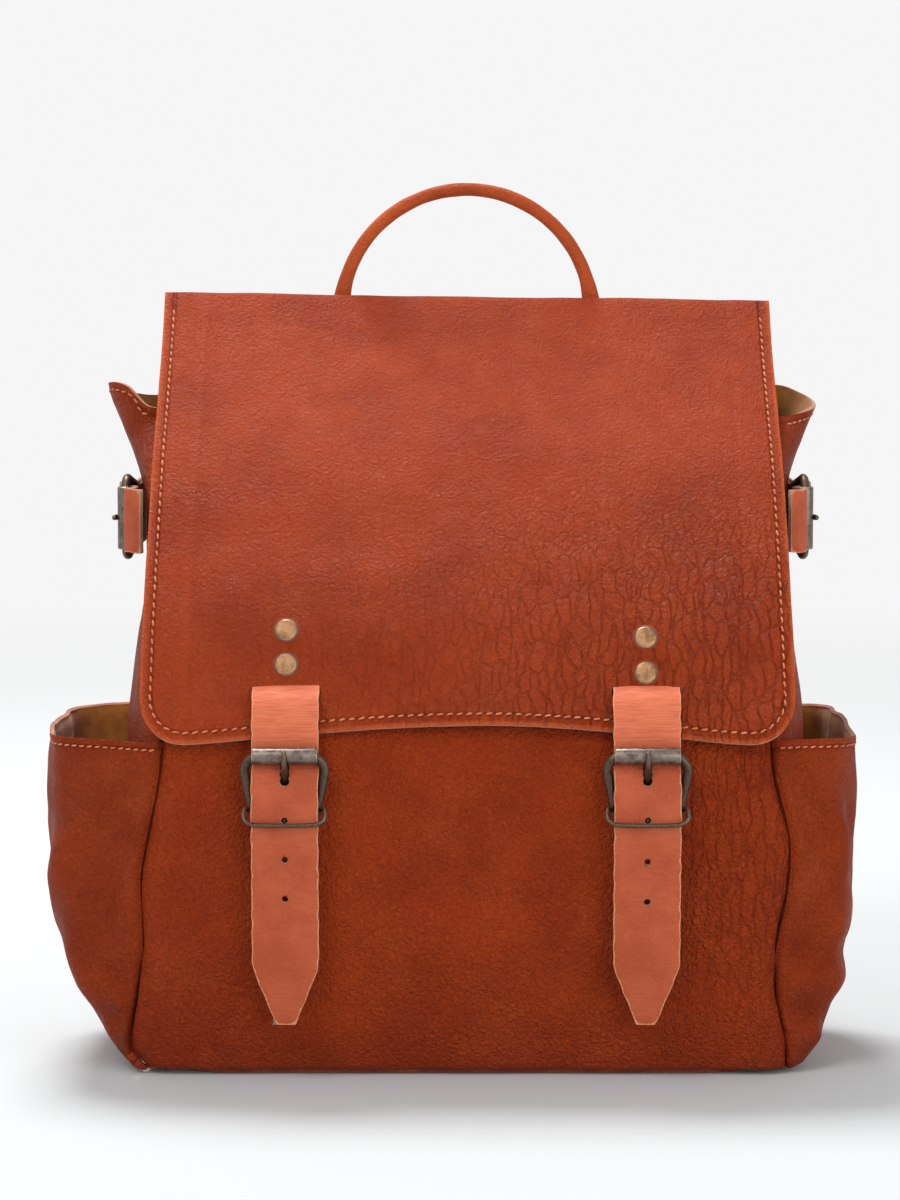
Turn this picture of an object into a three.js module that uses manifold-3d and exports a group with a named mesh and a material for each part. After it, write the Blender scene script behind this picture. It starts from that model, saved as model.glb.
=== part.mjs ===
// Leather backpack with a buckled flap, as an assembly of separate leather and metal pieces.
// Millimetres. +X to the right as seen from the front, +Y towards the wearer's back, +Z up. The underside
// of the base is z = 0. Right-hand pieces are modelled and the left-hand ones are their mirror.

import * as THREE from 'three';
import { mergeVertices } from 'three/addons/utils/BufferGeometryUtils.js';
import Module from 'manifold-3d';

const wasm = await Module();
wasm.setup();

// Leather and clearances
const HIDE = 2.2; // body and strap leather
const FLAP_HIDE = 1.8; // outer flap leather
const LINING = 1.2; // flap lining
const GAP = 0.4; // between pieces that lie on each other
const SEAM = 0.5; // between panels that are sewn edge to edge

// Body
const BASE_WIDTH = 279;
const BASE_FRONT = -63.2;
const BASE_BACK = 61;
const BASE_THICK = 3;
const BASE_CORNER = 24;
const BACK_Y = 62; // inner face of the back panel
const BACK_THICK = 2.6;
const BACK_TOP = 338;
const BACK_HALF = 145.5;
const PANEL_FOOT = 0.6; // lowest edge of the sewn panels
// Outer face of the front panel and its half width, against height
const FRONT_PROFILE = [
  [0, -66], [20, -73], [60, -80.3], [100, -83.2], [125, -83.6], [148, -82.4],
  [160, -78.6], [172, -71.5], [187, -62.8], [203, -55.8], [243, -35.5], [280, -8], [298, 12.4],
];
const FRONT_HALF = [[0, 141], [8, 145], [25, 149], [80, 145.5], [150, 140], [200, 141], [298, 143]];
// How far the gusset bows out beyond the line from front seam to back seam
const GUSSET_BOW = [
  [0, 0.5], [60, 6], [120, 13], [155, 14], [190, 9], [222, 3], [268, 3], [285, 12], [304, 22],
];
const GUSSET_TOP = [[0, 298], [0.5, 306], [1, 324]]; // rim height against place, front to back

// Pockets
const POCKET_TOP = 150;
const POCKET_FRONT = -71;
const POCKET_BACK = 54;
const POCKET_OUTER = [[0, 151], [25, 162], [52, 175], [100, 184.5], [150, 184.5]];
const POCKET_SEAM = [[0, 150.5], [10, 151.5], [30, 154.5]];
const POCKET_LEAST = 0.2; // bow left at the foot
const POCKET_SQUARENESS = 0.5;

// Flap: outer face in side view, from the fold down to the free edge
const FOLD = { y: 64, z: 350.5 };
const FLAP_PROFILE = [[63.4, 350], [-15, 280], [-43, 243], [-63, 211], [-86, 157], [-88.1, 152]];
const FLAP_HALF = 147;
const FLAP_LOW = 155;
const FLAP_ARCH = 8; // the free edge is higher in the middle
const FLAP_CORNER = 20;
const YOKE_FOOT = 296;
const YOKE_TOP = 346;

// Closure straps and their buckles
const STRAP_X = 81;
const STRAP_WIDTH = 30;
const SLIT = { y: -78.5, z: 176.5 };
const HINGE_BAR = { y: -91, z: 122 };
const TIP_Z = 24;
const TAPER = 25;
const TIP_WIDTH = 11;
const HOLE_R = 2;
const HOLE_Z = [117, 101, 82];
const RIVET_HEIGHTS = [201.5, 186.8];
const RIVET = { cap: 5, dome: 1.8, shank: 1.5, tail: 4, tailThick: 1.2 };

// Roller buckle, in its own frame: strap along Z, outside is -Y, hinge bar on the X axis
const BUCKLE = { rod: 4.4, reach: 29, clear: 2, wall: 5, roller: 3.75, rollerBore: 2.7 };
const PRONG = { thick: 2.1, width: 3, eye: 4.1, eyeBore: 2.6 };
const CHAPE_PLY = 1.5;
const KEEPER_WIRE = 1.1;

// Side cinch straps
const CINCH_Z = 250;
const CINCH_BAR = { x: 156.5, y: 27 };

// Handle
const HANDLE = { x: 0.7, y: 71, z: 342, r: 60.6, tube: 3.25, bore: 2.3, core: 1.9, steps: 18 };

// Shoulder straps, planned in the plane through their two anchors: [away from the back, down]
const ANCHOR_Y = 76.5;
const ANCHOR_TOP = { x: 38, z: 318 };
const ANCHOR_LOW = { x: 124, z: 30 };
const PATCH_Y = 67.2; // back face of the yoke
const ROOT_SHY = 1; // the roots stop this far short of the anchors
const PAD_THICK = 6;
const PAD_WIDTH = 40;
const ADJUSTER_WIDTH = 25;
const PAD_PATH = [[3, 1], [22, -5], [44, 3], [56, 24], [61, 62], [62, 100], [62, 146]];
const SHOULDER_BAR = { out: 63.5, down: 152 };

const colours = {
  hide: { color: 0x8d351b, roughness: 0.55 },
  flap: { color: 0xa9532f, roughness: 0.55 },
  strap: { color: 0xbd6145, roughness: 0.65 },
  lining: { color: 0xa56a25, roughness: 0.85 },
  bronze: { color: 0x3d2013, roughness: 0.4, metalness: 0.8 },
  brass: { color: 0xc49567, roughness: 0.35, metalness: 0.8 },
};
const materials = {};
for (const [name, look] of Object.entries(colours)) {
  materials[name] = new THREE.MeshStandardMaterial({ metalness: 0, ...look });
}

// ---- Helpers -------------------------------------------------------------------------------

// Straight-line reading of a list of [place, value] pairs.
function at(list, place) {
  let i = 1;
  while (i < list.length - 1 && place > list[i][0]) i++;
  const [p0, v0] = list[i - 1];
  const [p1, v1] = list[i];
  return v0 + (v1 - v0) * THREE.MathUtils.clamp((place - p0) / (p1 - p0), 0, 1);
}

function toManifold(geometry) {
  const bare = geometry.clone();
  bare.deleteAttribute('normal');
  bare.deleteAttribute('uv');
  const merged = mergeVertices(bare, 1e-3);
  const vertProperties = new Float32Array(merged.attributes.position.array);
  const triVerts = new Uint32Array(merged.index.array);
  return new wasm.Manifold(new wasm.Mesh({ numProp: 3, vertProperties, triVerts }));
}

function toGeometry(solid) {
  const { vertProperties, triVerts } = solid.getMesh();
  const geometry = new THREE.BufferGeometry();
  geometry.setAttribute('position', new THREE.BufferAttribute(vertProperties, 3));
  geometry.setIndex(new THREE.BufferAttribute(triVerts, 1));
  return geometry;
}

function cut(geometry, ...tools) {
  let solid = toManifold(geometry);
  for (const tool of tools) solid = solid.subtract(toManifold(tool));
  return toGeometry(solid);
}

function join(geometry, ...others) {
  let solid = toManifold(geometry);
  for (const other of others) solid = solid.add(toManifold(other));
  return toGeometry(solid);
}

function common(a, b) {
  return toGeometry(toManifold(a).intersect(toManifold(b)));
}

function box(width, depth, height, x, y, z) {
  return new THREE.BoxGeometry(width, depth, height).translate(x, y, z);
}

function rodX(radius, length, y, z, sides = 12) {
  return new THREE.CylinderGeometry(radius, radius, length, sides).rotateZ(Math.PI / 2).translate(0, y, z);
}

function rodY(radius, length, x, y, z, sides = 12) {
  return new THREE.CylinderGeometry(radius, radius, length, sides).translate(x, y, z);
}

// Mirror across x = 0, with the faces still pointing out.
function mirrored(geometry) {
  const twin = mergeVertices(geometry.clone().deleteAttribute('uv').deleteAttribute('normal'), 1e-3);
  twin.scale(-1, 1, 1);
  const index = twin.index.array;
  for (let i = 0; i < index.length; i += 3) [index[i], index[i + 1]] = [index[i + 1], index[i]];
  return twin;
}

// An outline drawn as [y, z] points, extruded along X and centred on x = 0.
function alongX(outline, width) {
  const shape = new THREE.Shape(outline.map(([y, z]) => new THREE.Vector2(y, z)));
  const basis = new THREE.Matrix4().makeBasis(
    new THREE.Vector3(0, 1, 0), new THREE.Vector3(0, 0, 1), new THREE.Vector3(1, 0, 0));
  const solid = new THREE.ExtrudeGeometry(shape, { depth: width, bevelEnabled: false });
  return solid.applyMatrix4(basis).translate(-width / 2, 0, 0);
}

// An outline drawn in [x, z], extruded along Y from y = near to y = far.
function alongY(shape, near, far, options = {}) {
  const depth = far - near;
  const plain = { depth, bevelEnabled: false, curveSegments: 5 };
  const solid = new THREE.ExtrudeGeometry(shape, { ...plain, ...options });
  return solid.rotateX(Math.PI / 2).translate(0, far, 0);
}

// A flat strap seen from its side: the outer face's path, thickened to the path's left.
function bandOutline(path, thickness) {
  const points = path.map(([y, z]) => new THREE.Vector2(y, z));
  const lefts = points.slice(1).map((p, i) => {
    const run = p.clone().sub(points[i]).normalize();
    return new THREE.Vector2(-run.y, run.x);
  });
  const inner = points.map((p, i) => {
    const before = lefts[Math.max(i - 1, 0)];
    const after = lefts[Math.min(i, lefts.length - 1)];
    const miter = before.clone().add(after).normalize();
    return p.clone().addScaledVector(miter, thickness / miter.dot(after));
  });
  return [...points, ...inner.reverse()].map((p) => [p.x, p.y]);
}

function band(path, thickness, width) {
  return alongX(bandOutline(path, thickness), width);
}

function roundedRectangle(width, height, radius, shape = new THREE.Shape()) {
  const w = width / 2;
  const h = height / 2;
  shape.moveTo(-w + radius, -h);
  shape.lineTo(w - radius, -h);
  shape.absarc(w - radius, -h + radius, radius, -Math.PI / 2, 0);
  shape.lineTo(w, h - radius);
  shape.absarc(w - radius, h - radius, radius, 0, Math.PI / 2);
  shape.lineTo(-w + radius, h);
  shape.absarc(-w + radius, h - radius, radius, Math.PI / 2, Math.PI);
  shape.lineTo(-w, -h + radius);
  shape.absarc(-w + radius, -h + radius, radius, Math.PI, Math.PI * 1.5);
  return shape;
}

// A curved panel of even thickness. place(u, v) gives its outer face and u x v points out.
function curvedPanel(place, thickness, cols, rows) {
  const outer = [];
  for (let j = 0; j <= rows; j++) {
    for (let i = 0; i <= cols; i++) outer.push(place(i / cols, j / rows));
  }
  const id = (i, j) => j * (cols + 1) + i;
  const clampedId = (i, j) => id(THREE.MathUtils.clamp(i, 0, cols), THREE.MathUtils.clamp(j, 0, rows));
  const inner = outer.map((p, k) => {
    const i = k % (cols + 1);
    const j = Math.floor(k / (cols + 1));
    const across = outer[clampedId(i + 1, j)].clone().sub(outer[clampedId(i - 1, j)]);
    const up = outer[clampedId(i, j + 1)].clone().sub(outer[clampedId(i, j - 1)]);
    return p.clone().addScaledVector(across.cross(up).normalize(), -thickness);
  });
  const triangles = [];
  const quad = (a, b, c, d) => triangles.push(a, b, c, a, c, d);
  const n = outer.length;
  for (let j = 0; j < rows; j++) {
    for (let i = 0; i < cols; i++) {
      quad(id(i, j), id(i + 1, j), id(i + 1, j + 1), id(i, j + 1));
      quad(n + id(i, j), n + id(i, j + 1), n + id(i + 1, j + 1), n + id(i + 1, j));
    }
    quad(id(0, j), id(0, j + 1), n + id(0, j + 1), n + id(0, j));
    quad(id(cols, j), n + id(cols, j), n + id(cols, j + 1), id(cols, j + 1));
  }
  for (let i = 0; i < cols; i++) {
    quad(id(i, 0), n + id(i, 0), n + id(i + 1, 0), id(i + 1, 0));
    quad(id(i, rows), id(i + 1, rows), n + id(i + 1, rows), n + id(i, rows));
  }
  const geometry = new THREE.BufferGeometry();
  const positions = [...outer, ...inner].flatMap((p) => [p.x, p.y, p.z]);
  geometry.setAttribute('position', new THREE.Float32BufferAttribute(positions, 3));
  geometry.setIndex(triangles);
  return geometry;
}

const backpack = new THREE.Group();

function add(name, geometry, material, parent = backpack) {
  const mesh = new THREE.Mesh(geometry, materials[material]);
  mesh.name = name;
  parent.add(mesh);
  return mesh;
}

// The right-hand piece and its mirrored twin.
function addPair(name, geometry, material) {
  add(`${name}_right`, geometry, material);
  add(`${name}_left`, mirrored(geometry), material);
}

// A right-hand group of pieces, placed by a matrix, and its mirrored twin.
function addPairsIn(matrix, pieces) {
  for (const [name, geometry, material] of pieces) {
    addPair(name, geometry.clone().applyMatrix4(matrix), material);
  }
}

// ---- Body panels ---------------------------------------------------------------------------

function basePanel() {
  const depth = BASE_BACK - BASE_FRONT;
  const shape = roundedRectangle(BASE_WIDTH, depth, BASE_CORNER);
  const flat = { depth: BASE_THICK, bevelEnabled: false, curveSegments: 4 };
  const plate = new THREE.ExtrudeGeometry(shape, flat);
  return plate.translate(0, (BASE_BACK + BASE_FRONT) / 2, 0);
}

function backPanel() {
  const height = BACK_TOP - PANEL_FOOT;
  const shape = roundedRectangle(2 * BACK_HALF, height, 12);
  return alongY(shape, BACK_Y, BACK_Y + BACK_THICK).translate(0, 0, PANEL_FOOT + height / 2);
}

function frontPanel() {
  const heights = FRONT_PROFILE.map(([z]) => Math.max(z, PANEL_FOOT));
  const place = (u, v) => {
    const z = heights[Math.round(v * (heights.length - 1))];
    const x = (2 * u - 1) * at(FRONT_HALF, z);
    return new THREE.Vector3(x, at(FRONT_PROFILE, z), z);
  };
  return curvedPanel(place, HIDE, 1, heights.length - 1);
}

// Right gusset: u from the front seam to the back seam, v up.
function gussetPoint(u, v) {
  const z = PANEL_FOOT + (at(GUSSET_TOP, u) - PANEL_FOOT) * v;
  const seamHeight = Math.min(z, FRONT_PROFILE.at(-1)[0]);
  const front = at(FRONT_HALF, seamHeight);
  const bow = at(GUSSET_BOW, z) * Math.sin(Math.PI * u) ** 0.8;
  const x = THREE.MathUtils.lerp(front, BACK_HALF, u) + SEAM + HIDE + bow;
  const y = THREE.MathUtils.lerp(at(FRONT_PROFILE, seamHeight), BACK_Y, u);
  return new THREE.Vector3(x, y, z);
}

// Right pocket: u round the pocket from front to back, v up.
function pocketPoint(u, v) {
  const z = 1 + (POCKET_TOP - 1) * v;
  const turn = Math.PI * (u - 0.5);
  const soft = (value) => Math.sign(value) * Math.abs(value) ** POCKET_SQUARENESS;
  const seam = at(POCKET_SEAM, z);
  const x = seam + (Math.max(at(POCKET_OUTER, z), seam + POCKET_LEAST) - seam) * soft(Math.cos(turn));
  const fullness = Math.min(1, 0.84 + z / 250);
  const middle = (POCKET_FRONT + POCKET_BACK) / 2;
  const y = middle + fullness * (POCKET_BACK - POCKET_FRONT) / 2 * soft(Math.sin(turn));
  return new THREE.Vector3(x, y, z);
}

function addBody() {
  add('base_panel', basePanel(), 'hide');
  add('back_panel', backPanel(), 'hide');
  add('front_panel', frontPanel(), 'hide');
  addPair('gusset', curvedPanel(gussetPoint, HIDE, 6, 14), 'hide');
  addPair('pocket', curvedPanel(pocketPoint, HIDE, 12, 6), 'hide');
  const yokeShape = roundedRectangle(2 * FLAP_HALF - 6, YOKE_TOP - YOKE_FOOT, 4);
  const yokeNear = BACK_Y + BACK_THICK + GAP;
  const yoke = alongY(yokeShape, yokeNear, yokeNear + FLAP_HIDE);
  add('flap_yoke', yoke.translate(0, 0, (YOKE_TOP + YOKE_FOOT) / 2), 'flap');
}

// ---- Flap ----------------------------------------------------------------------------------

function flapFront(inset) {
  const half = FLAP_HALF - inset;
  const low = FLAP_LOW + inset;
  const shape = new THREE.Shape();
  shape.moveTo(-half, FOLD.z + 10);
  shape.lineTo(-half, low + FLAP_CORNER);
  shape.absarc(-half + FLAP_CORNER, low + FLAP_CORNER, FLAP_CORNER, Math.PI, Math.PI * 1.5);
  shape.quadraticCurveTo(0, low + 2 * FLAP_ARCH, half - FLAP_CORNER, low);
  shape.absarc(half - FLAP_CORNER, low + FLAP_CORNER, FLAP_CORNER, -Math.PI / 2, 0);
  shape.lineTo(half, FOLD.z + 10);
  return alongY(shape, -140, 140);
}

function flapFaceY(z) {
  return at([...FLAP_PROFILE].reverse().map(([y, height]) => [height, y]), z);
}

// The two rivet holes over the strap at x.
function rivetHoles(x) {
  return RIVET_HEIGHTS.map((z) => onFlap(rodY(RIVET.shank + GAP, 30, 0, 0, 0), x, z));
}

// Everything that passes through the flap: on each side a strap slit and two rivet shanks.
function flapCuts() {
  return [-STRAP_X, STRAP_X].flatMap((x) => [
    box(STRAP_WIDTH + 2, 30, 4, x, SLIT.y, SLIT.z), ...rivetHoles(x),
  ]);
}

// Place a piece made about the Y axis square to the flap's lower face.
function onFlap(geometry, x, z) {
  const [[y0, z0], [y1, z1]] = FLAP_PROFILE.slice(3, 5);
  const lean = Math.atan2(y0 - y1, z0 - z1);
  return geometry.rotateX(-lean).translate(x, flapFaceY(z), z);
}

function rivet() {
  const under = FLAP_HIDE + LINING + HIDE + 3 * GAP;
  const { cap, dome, shank, tail, tailThick } = RIVET;
  const profile = [
    [0, -under - tailThick], [tail, -under - tailThick], [tail, -under], [shank, -under],
    [shank, 0.3], [cap, 0.3], [cap * 0.86, dome * 0.7], [0, dome],
  ];
  const points = profile.map(([r, h]) => new THREE.Vector2(r, h));
  return new THREE.LatheGeometry(points, 10).rotateX(Math.PI);
}

function shifted(path, distance) {
  return bandOutline(path, distance).slice(path.length).reverse();
}

function addFlap() {
  const width = 2 * FLAP_HALF + 20;
  const outer = common(band(FLAP_PROFILE, FLAP_HIDE, width), flapFront(0));
  const liningPath = shifted(FLAP_PROFILE, FLAP_HIDE + GAP);
  const lining = common(band(liningPath, LINING, width), flapFront(1));
  add('flap_outer', cut(outer, ...flapCuts()), 'flap');
  add('flap_lining', cut(lining, ...flapCuts()), 'lining');
  const rootDepth = FLAP_HIDE + LINING + 2 * GAP;
  const rootPath = shifted([[-59.9, 216], [-63, 211], [-77, 178.2]], rootDepth);
  const root = cut(band(rootPath, HIDE, STRAP_WIDTH).translate(STRAP_X, 0, 0), ...rivetHoles(STRAP_X));
  addPair('closure_strap_root', root, 'strap');
  const levels = ['upper', 'lower'];
  levels.forEach((level, i) => {
    addPair(`rivet_${level}`, onFlap(rivet(), STRAP_X, RIVET_HEIGHTS[i]), 'brass');
  });
}

// ---- Roller buckle, in its own frame ---------------------------------------------------------

function buckleFrame(strapWidth) {
  const { rod, reach, clear, wall } = BUCKLE;
  const bevel = 1.2;
  const inner = { width: strapWidth + 1.2, height: reach - rod };
  const outerShape = roundedRectangle(inner.width + 2 * wall - 2 * bevel, reach + rod - 2 * bevel, 4);
  const hole = roundedRectangle(inner.width + 2 * bevel, inner.height + 2 * bevel, 1.6, new THREE.Path());
  outerShape.holes.push(hole);
  const options = {
    bevelEnabled: true, bevelThickness: bevel, bevelSize: bevel, bevelSegments: 1, curveSegments: 2,
  };
  const frame = alongY(outerShape, -rod / 2 + bevel, rod / 2 - bevel, options);
  return frame.rotateX(Math.atan2(clear, reach)).translate(0, -clear / 2, reach / 2);
}

function buckleRoller(strapWidth) {
  const half = strapWidth / 2 - 0.3;
  const { roller, rollerBore, reach, clear } = BUCKLE;
  const profile = [
    [rollerBore, -half], [roller, -half], [roller, half], [rollerBore, half], [rollerBore, -half],
  ];
  const sleeve = new THREE.LatheGeometry(profile.map(([r, h]) => new THREE.Vector2(r, h)), 16);
  return sleeve.rotateZ(Math.PI / 2).translate(0, -clear, reach);
}

function buckleProng() {
  const path = [[-1.5, 3], [-2.6, 12.5], [-5.2, 20], [-8.4, 26], [-8.6, 30], [-7.9, 34]];
  const shaft = band(path, -PRONG.thick, PRONG.width);
  const eye = rodX(PRONG.eye, PRONG.width + 1, 0, 0, 14);
  return cut(join(eye, shaft), rodX(PRONG.eyeBore, 20, 0, 0, 12));
}

// The strap's outer face through a buckle, from the incoming side to just past the hinge bar.
const THREADED = [[2.2, 40], [2.1, 27], [-4.7, 19], [-7, 4], [-7, -4], [-5.4, -14]];

function threadedStrap(before, after, width) {
  const slot = box(PRONG.width + 1.4, 30, 13.5, 0, 0, 17.7);
  return cut(band([...before, ...THREADED, ...after], HIDE, width), slot);
}

// Leather folded round the hinge bar, both plies running down to z = -length.
function chape(length, strapWidth, back = 4) {
  const fold = rodX(2.6 + CHAPE_PLY, strapWidth - 1, 0, 0, 16);
  const plies = box(strapWidth - 1, back + 1, length, 0, (back - 1) / 2, -length / 2 - 1);
  const slot = box(PRONG.width + 3, 20, 12.5, 0, 0, 0.7);
  return cut(join(fold, plies), rodX(2.6, 60, 0, 0, 12), slot);
}

// Wire bow in front of the strap, hooked on the two ends of the hinge bar.
function wireKeeper() {
  const half = STRAP_WIDTH / 2 + 2;
  const points = [
    [-half, -3.4, -3.2], [-half, -6.4, -4.6], [-half, -7.9, -6.6], [-half + 2.5, -7.9, -8.8],
    [half - 2.5, -7.9, -8.8], [half, -7.9, -6.6], [half, -6.4, -4.6], [half, -3.4, -3.2],
  ].map(([x, y, z]) => new THREE.Vector3(x, y, z));
  const path = new THREE.CatmullRomCurve3(points, false, 'centripetal');
  const section = new THREE.Shape().absarc(0, 0, KEEPER_WIRE, 0, 2 * Math.PI);
  const wire = { steps: 16, curveSegments: 4, bevelEnabled: false, extrudePath: path };
  return new THREE.ExtrudeGeometry(section, wire);
}

// ---- Closure straps --------------------------------------------------------------------------

function closureStrap() {
  const { y, z } = HINGE_BAR;
  const before = [[-82 - y, 174.5 - z], [-87.4 - y, 164 - z]];
  const after = [[-92.5 - y, 60 - z], [-89.5 - y, TIP_Z - z]];
  const strap = threadedStrap(before, after, STRAP_WIDTH).translate(0, y, z);
  const half = STRAP_WIDTH / 2;
  const outline = new THREE.Shape();
  outline.moveTo(-half, 200);
  outline.lineTo(-half, TIP_Z + TAPER);
  outline.lineTo(-TIP_WIDTH / 2, TIP_Z + 0.5);
  outline.lineTo(TIP_WIDTH / 2, TIP_Z + 0.5);
  outline.lineTo(half, TIP_Z + TAPER);
  outline.lineTo(half, 200);
  const holes = HOLE_Z.map((height) => rodY(HOLE_R, 60, 0, -90, height, 8));
  return cut(common(strap, alongY(outline, -120, -60)), ...holes);
}

// Press stud behind the chape and its socket on the front panel.
function pressStud(y, z) {
  const profile = [[0, 0], [6, 0], [6, 1.2], [1.6, 1.2], [1.6, 2.4], [0, 2.4]];
  return new THREE.LatheGeometry(profile.map(([r, h]) => new THREE.Vector2(r, h)), 10).translate(0, y, z);
}

function pressSocket(y, z) {
  const profile = [[0, 0], [7, 0], [7, 2.2], [3.6, 2.2], [3.6, 0.8], [0, 0.8]];
  return new THREE.LatheGeometry(profile.map(([r, h]) => new THREE.Vector2(r, h)), 10)
    .rotateX(Math.PI).translate(0, y, z);
}

function addClosures() {
  const place = new THREE.Matrix4().makeTranslation(STRAP_X, HINGE_BAR.y, HINGE_BAR.z);
  addPair('closure_strap', closureStrap().translate(STRAP_X, 0, 0), 'strap');
  addPairsIn(place, [
    ['closure_chape', chape(34, STRAP_WIDTH, 3), 'strap'],
    ['buckle_frame', buckleFrame(STRAP_WIDTH), 'bronze'],
    ['buckle_roller', buckleRoller(STRAP_WIDTH), 'bronze'],
    ['buckle_prong', buckleProng(), 'bronze'],
    ['wire_keeper', wireKeeper(), 'bronze'],
    ['snap_stud', pressStud(3.3, -23), 'brass'],
  ]);
  const socketZ = HINGE_BAR.z - 23;
  addPair('snap_socket', pressSocket(-83.9, socketZ).translate(STRAP_X, 0, 0), 'brass');
}

// ---- Side cinch straps -----------------------------------------------------------------------

function addCinches() {
  const place = new THREE.Matrix4().makeBasis(
    new THREE.Vector3(0, 0, 1), new THREE.Vector3(-1, 0, 0), new THREE.Vector3(0, -1, 0));
  place.setPosition(CINCH_BAR.x, CINCH_BAR.y, CINCH_Z);
  const strap = threadedStrap([[6.4, 50]], [[-4.9, -27]], STRAP_WIDTH);
  addPairsIn(place, [
    ['cinch_strap', strap, 'strap'],
    ['cinch_chape', chape(31, STRAP_WIDTH), 'strap'],
    ['cinch_buckle', buckleFrame(STRAP_WIDTH), 'bronze'],
    ['cinch_roller', buckleRoller(STRAP_WIDTH), 'bronze'],
    ['cinch_prong', buckleProng(), 'bronze'],
  ]);
}

// ---- Handle ----------------------------------------------------------------------------------

function handleRing(outer, bore) {
  const start = Math.asin(4 / HANDLE.r);
  const points = [];
  for (let i = 0; i <= HANDLE.steps; i++) {
    const turn = start + (Math.PI - 2 * start) * i / HANDLE.steps;
    const reach = new THREE.Vector3(Math.cos(turn), 0, Math.sin(turn)).multiplyScalar(HANDLE.r);
    points.push(reach.add(new THREE.Vector3(HANDLE.x, HANDLE.y, HANDLE.z)));
  }
  const section = new THREE.Shape().absarc(0, 0, outer, 0, 2 * Math.PI);
  if (bore) section.holes.push(new THREE.Path().absarc(0, 0, bore, 0, 2 * Math.PI));
  const extrudePath = new THREE.CatmullRomCurve3(points);
  const { steps } = HANDLE;
  return new THREE.ExtrudeGeometry(section, { steps, curveSegments: 4, bevelEnabled: false, extrudePath });
}

function addHandle() {
  add('handle_cover', handleRing(HANDLE.tube, HANDLE.bore), 'flap');
  add('handle_core', handleRing(HANDLE.core), 'lining');
  for (const [side, end] of [['left', -1], ['right', 1]]) {
    const x = HANDLE.x + end * HANDLE.r;
    add(`handle_end_${side}`, box(10, 4.4, 17, x, PATCH_Y + 2.2, HANDLE.z - 5.5), 'flap');
  }
}

// ---- Shoulder straps -------------------------------------------------------------------------

// The plane through both anchors, with its own axes: out from the back is +Y, down is -Z.
function shoulderPlane() {
  const lean = Math.atan2(ANCHOR_LOW.x - ANCHOR_TOP.x, ANCHOR_TOP.z - ANCHOR_LOW.z);
  return new THREE.Matrix4().makeRotationY(-lean).setPosition(ANCHOR_TOP.x, ANCHOR_Y, ANCHOR_TOP.z);
}

function shoulderPad() {
  const path = PAD_PATH.map(([out, down]) => [out, -down]);
  const pad = band(path, -PAD_THICK / 2, PAD_WIDTH);
  const under = band(path, PAD_THICK / 2, PAD_WIDTH);
  const half = PAD_WIDTH / 2;
  const outline = new THREE.Shape();
  outline.moveTo(-half, 20);
  outline.lineTo(-half, -105);
  outline.lineTo(-ADJUSTER_WIDTH / 2, -125);
  outline.lineTo(-ADJUSTER_WIDTH / 2, -170);
  outline.lineTo(ADJUSTER_WIDTH / 2, -170);
  outline.lineTo(ADJUSTER_WIDTH / 2, -125);
  outline.lineTo(half, -105);
  outline.lineTo(half, 20);
  return common(join(pad, under), alongY(outline, -20, 120));
}

function addShoulders() {
  const plane = shoulderPlane();
  const length = Math.hypot(ANCHOR_LOW.x - ANCHOR_TOP.x, ANCHOR_TOP.z - ANCHOR_LOW.z);
  const turned = new THREE.Matrix4().makeRotationX(Math.PI)
    .setPosition(0, SHOULDER_BAR.out, -SHOULDER_BAR.down);
  const kit = plane.clone().multiply(turned);
  const toKit = ([out, down]) => [SHOULDER_BAR.out - out, down - SHOULDER_BAR.down];
  const before = [[3, length - 3], [20, length - 14], [42, length - 42], [57, length - 76]].map(toKit);
  const adjuster = threadedStrap(before, [[-6.6, -24], [-6.6, -56]], ADJUSTER_WIDTH);
  addPairsIn(kit, [
    ['adjuster_strap', adjuster, 'strap'],
    ['adjuster_buckle', buckleFrame(ADJUSTER_WIDTH), 'bronze'],
    ['adjuster_prong', buckleProng(), 'bronze'],
  ]);
  const fold = chape(24, ADJUSTER_WIDTH).applyMatrix4(turned);
  addPair('shoulder_strap', join(shoulderPad(), fold).applyMatrix4(plane), 'flap');
  const patchShape = roundedRectangle(106, 36, 8);
  add('shoulder_patch', alongY(patchShape, PATCH_Y, PATCH_Y + HIDE).translate(0, 0, ANCHOR_TOP.z), 'flap');
  const rootNear = PATCH_Y + HIDE + GAP;
  const rootFar = ANCHOR_Y - ROOT_SHY;
  const root = box(12, rootFar - rootNear, 5, ANCHOR_TOP.x, (rootFar + rootNear) / 2, ANCHOR_TOP.z);
  addPair('shoulder_root', root, 'flap');
  const corners = [[-6, 14], [-34, -20], [18, -26], [8, 14]];
  const tab = new THREE.Shape(corners.map(([x, z]) => new THREE.Vector2(x, z)));
  const tabNear = BACK_Y + BACK_THICK + GAP;
  const patch = alongY(tab, tabNear, tabNear + 3).translate(ANCHOR_LOW.x, 0, ANCHOR_LOW.z);
  const tongue = box(10, rootFar - tabNear - 2, 5, ANCHOR_LOW.x, (rootFar + tabNear + 2) / 2, ANCHOR_LOW.z);
  addPair('lower_tab', join(patch, tongue), 'flap');
}

addBody();
addFlap();
addClosures();
addCinches();
addHandle();
addShoulders();

export default backpack;
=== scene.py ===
# %% [markdown]
# # A leather backpack with a buckled flap
# This lesson builds the looks of a hand-sewn leather backpack around its measured frame. The frame gives
# every size and every joint. Blender gives what leather is known by: soft panels that sag a little, turned
# and raw edges, a thread that dips into its holes, grain and creases, and metal rubbed bright where it is
# touched. Each step says what the piece is on the real bag, and why it is made the way it is.

# %% Load the frame
import math
import random

import bmesh
import bpy
from mathutils import Matrix, Vector
from mathutils.bvhtree import BVHTree
from mathutils.kdtree import KDTree


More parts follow.
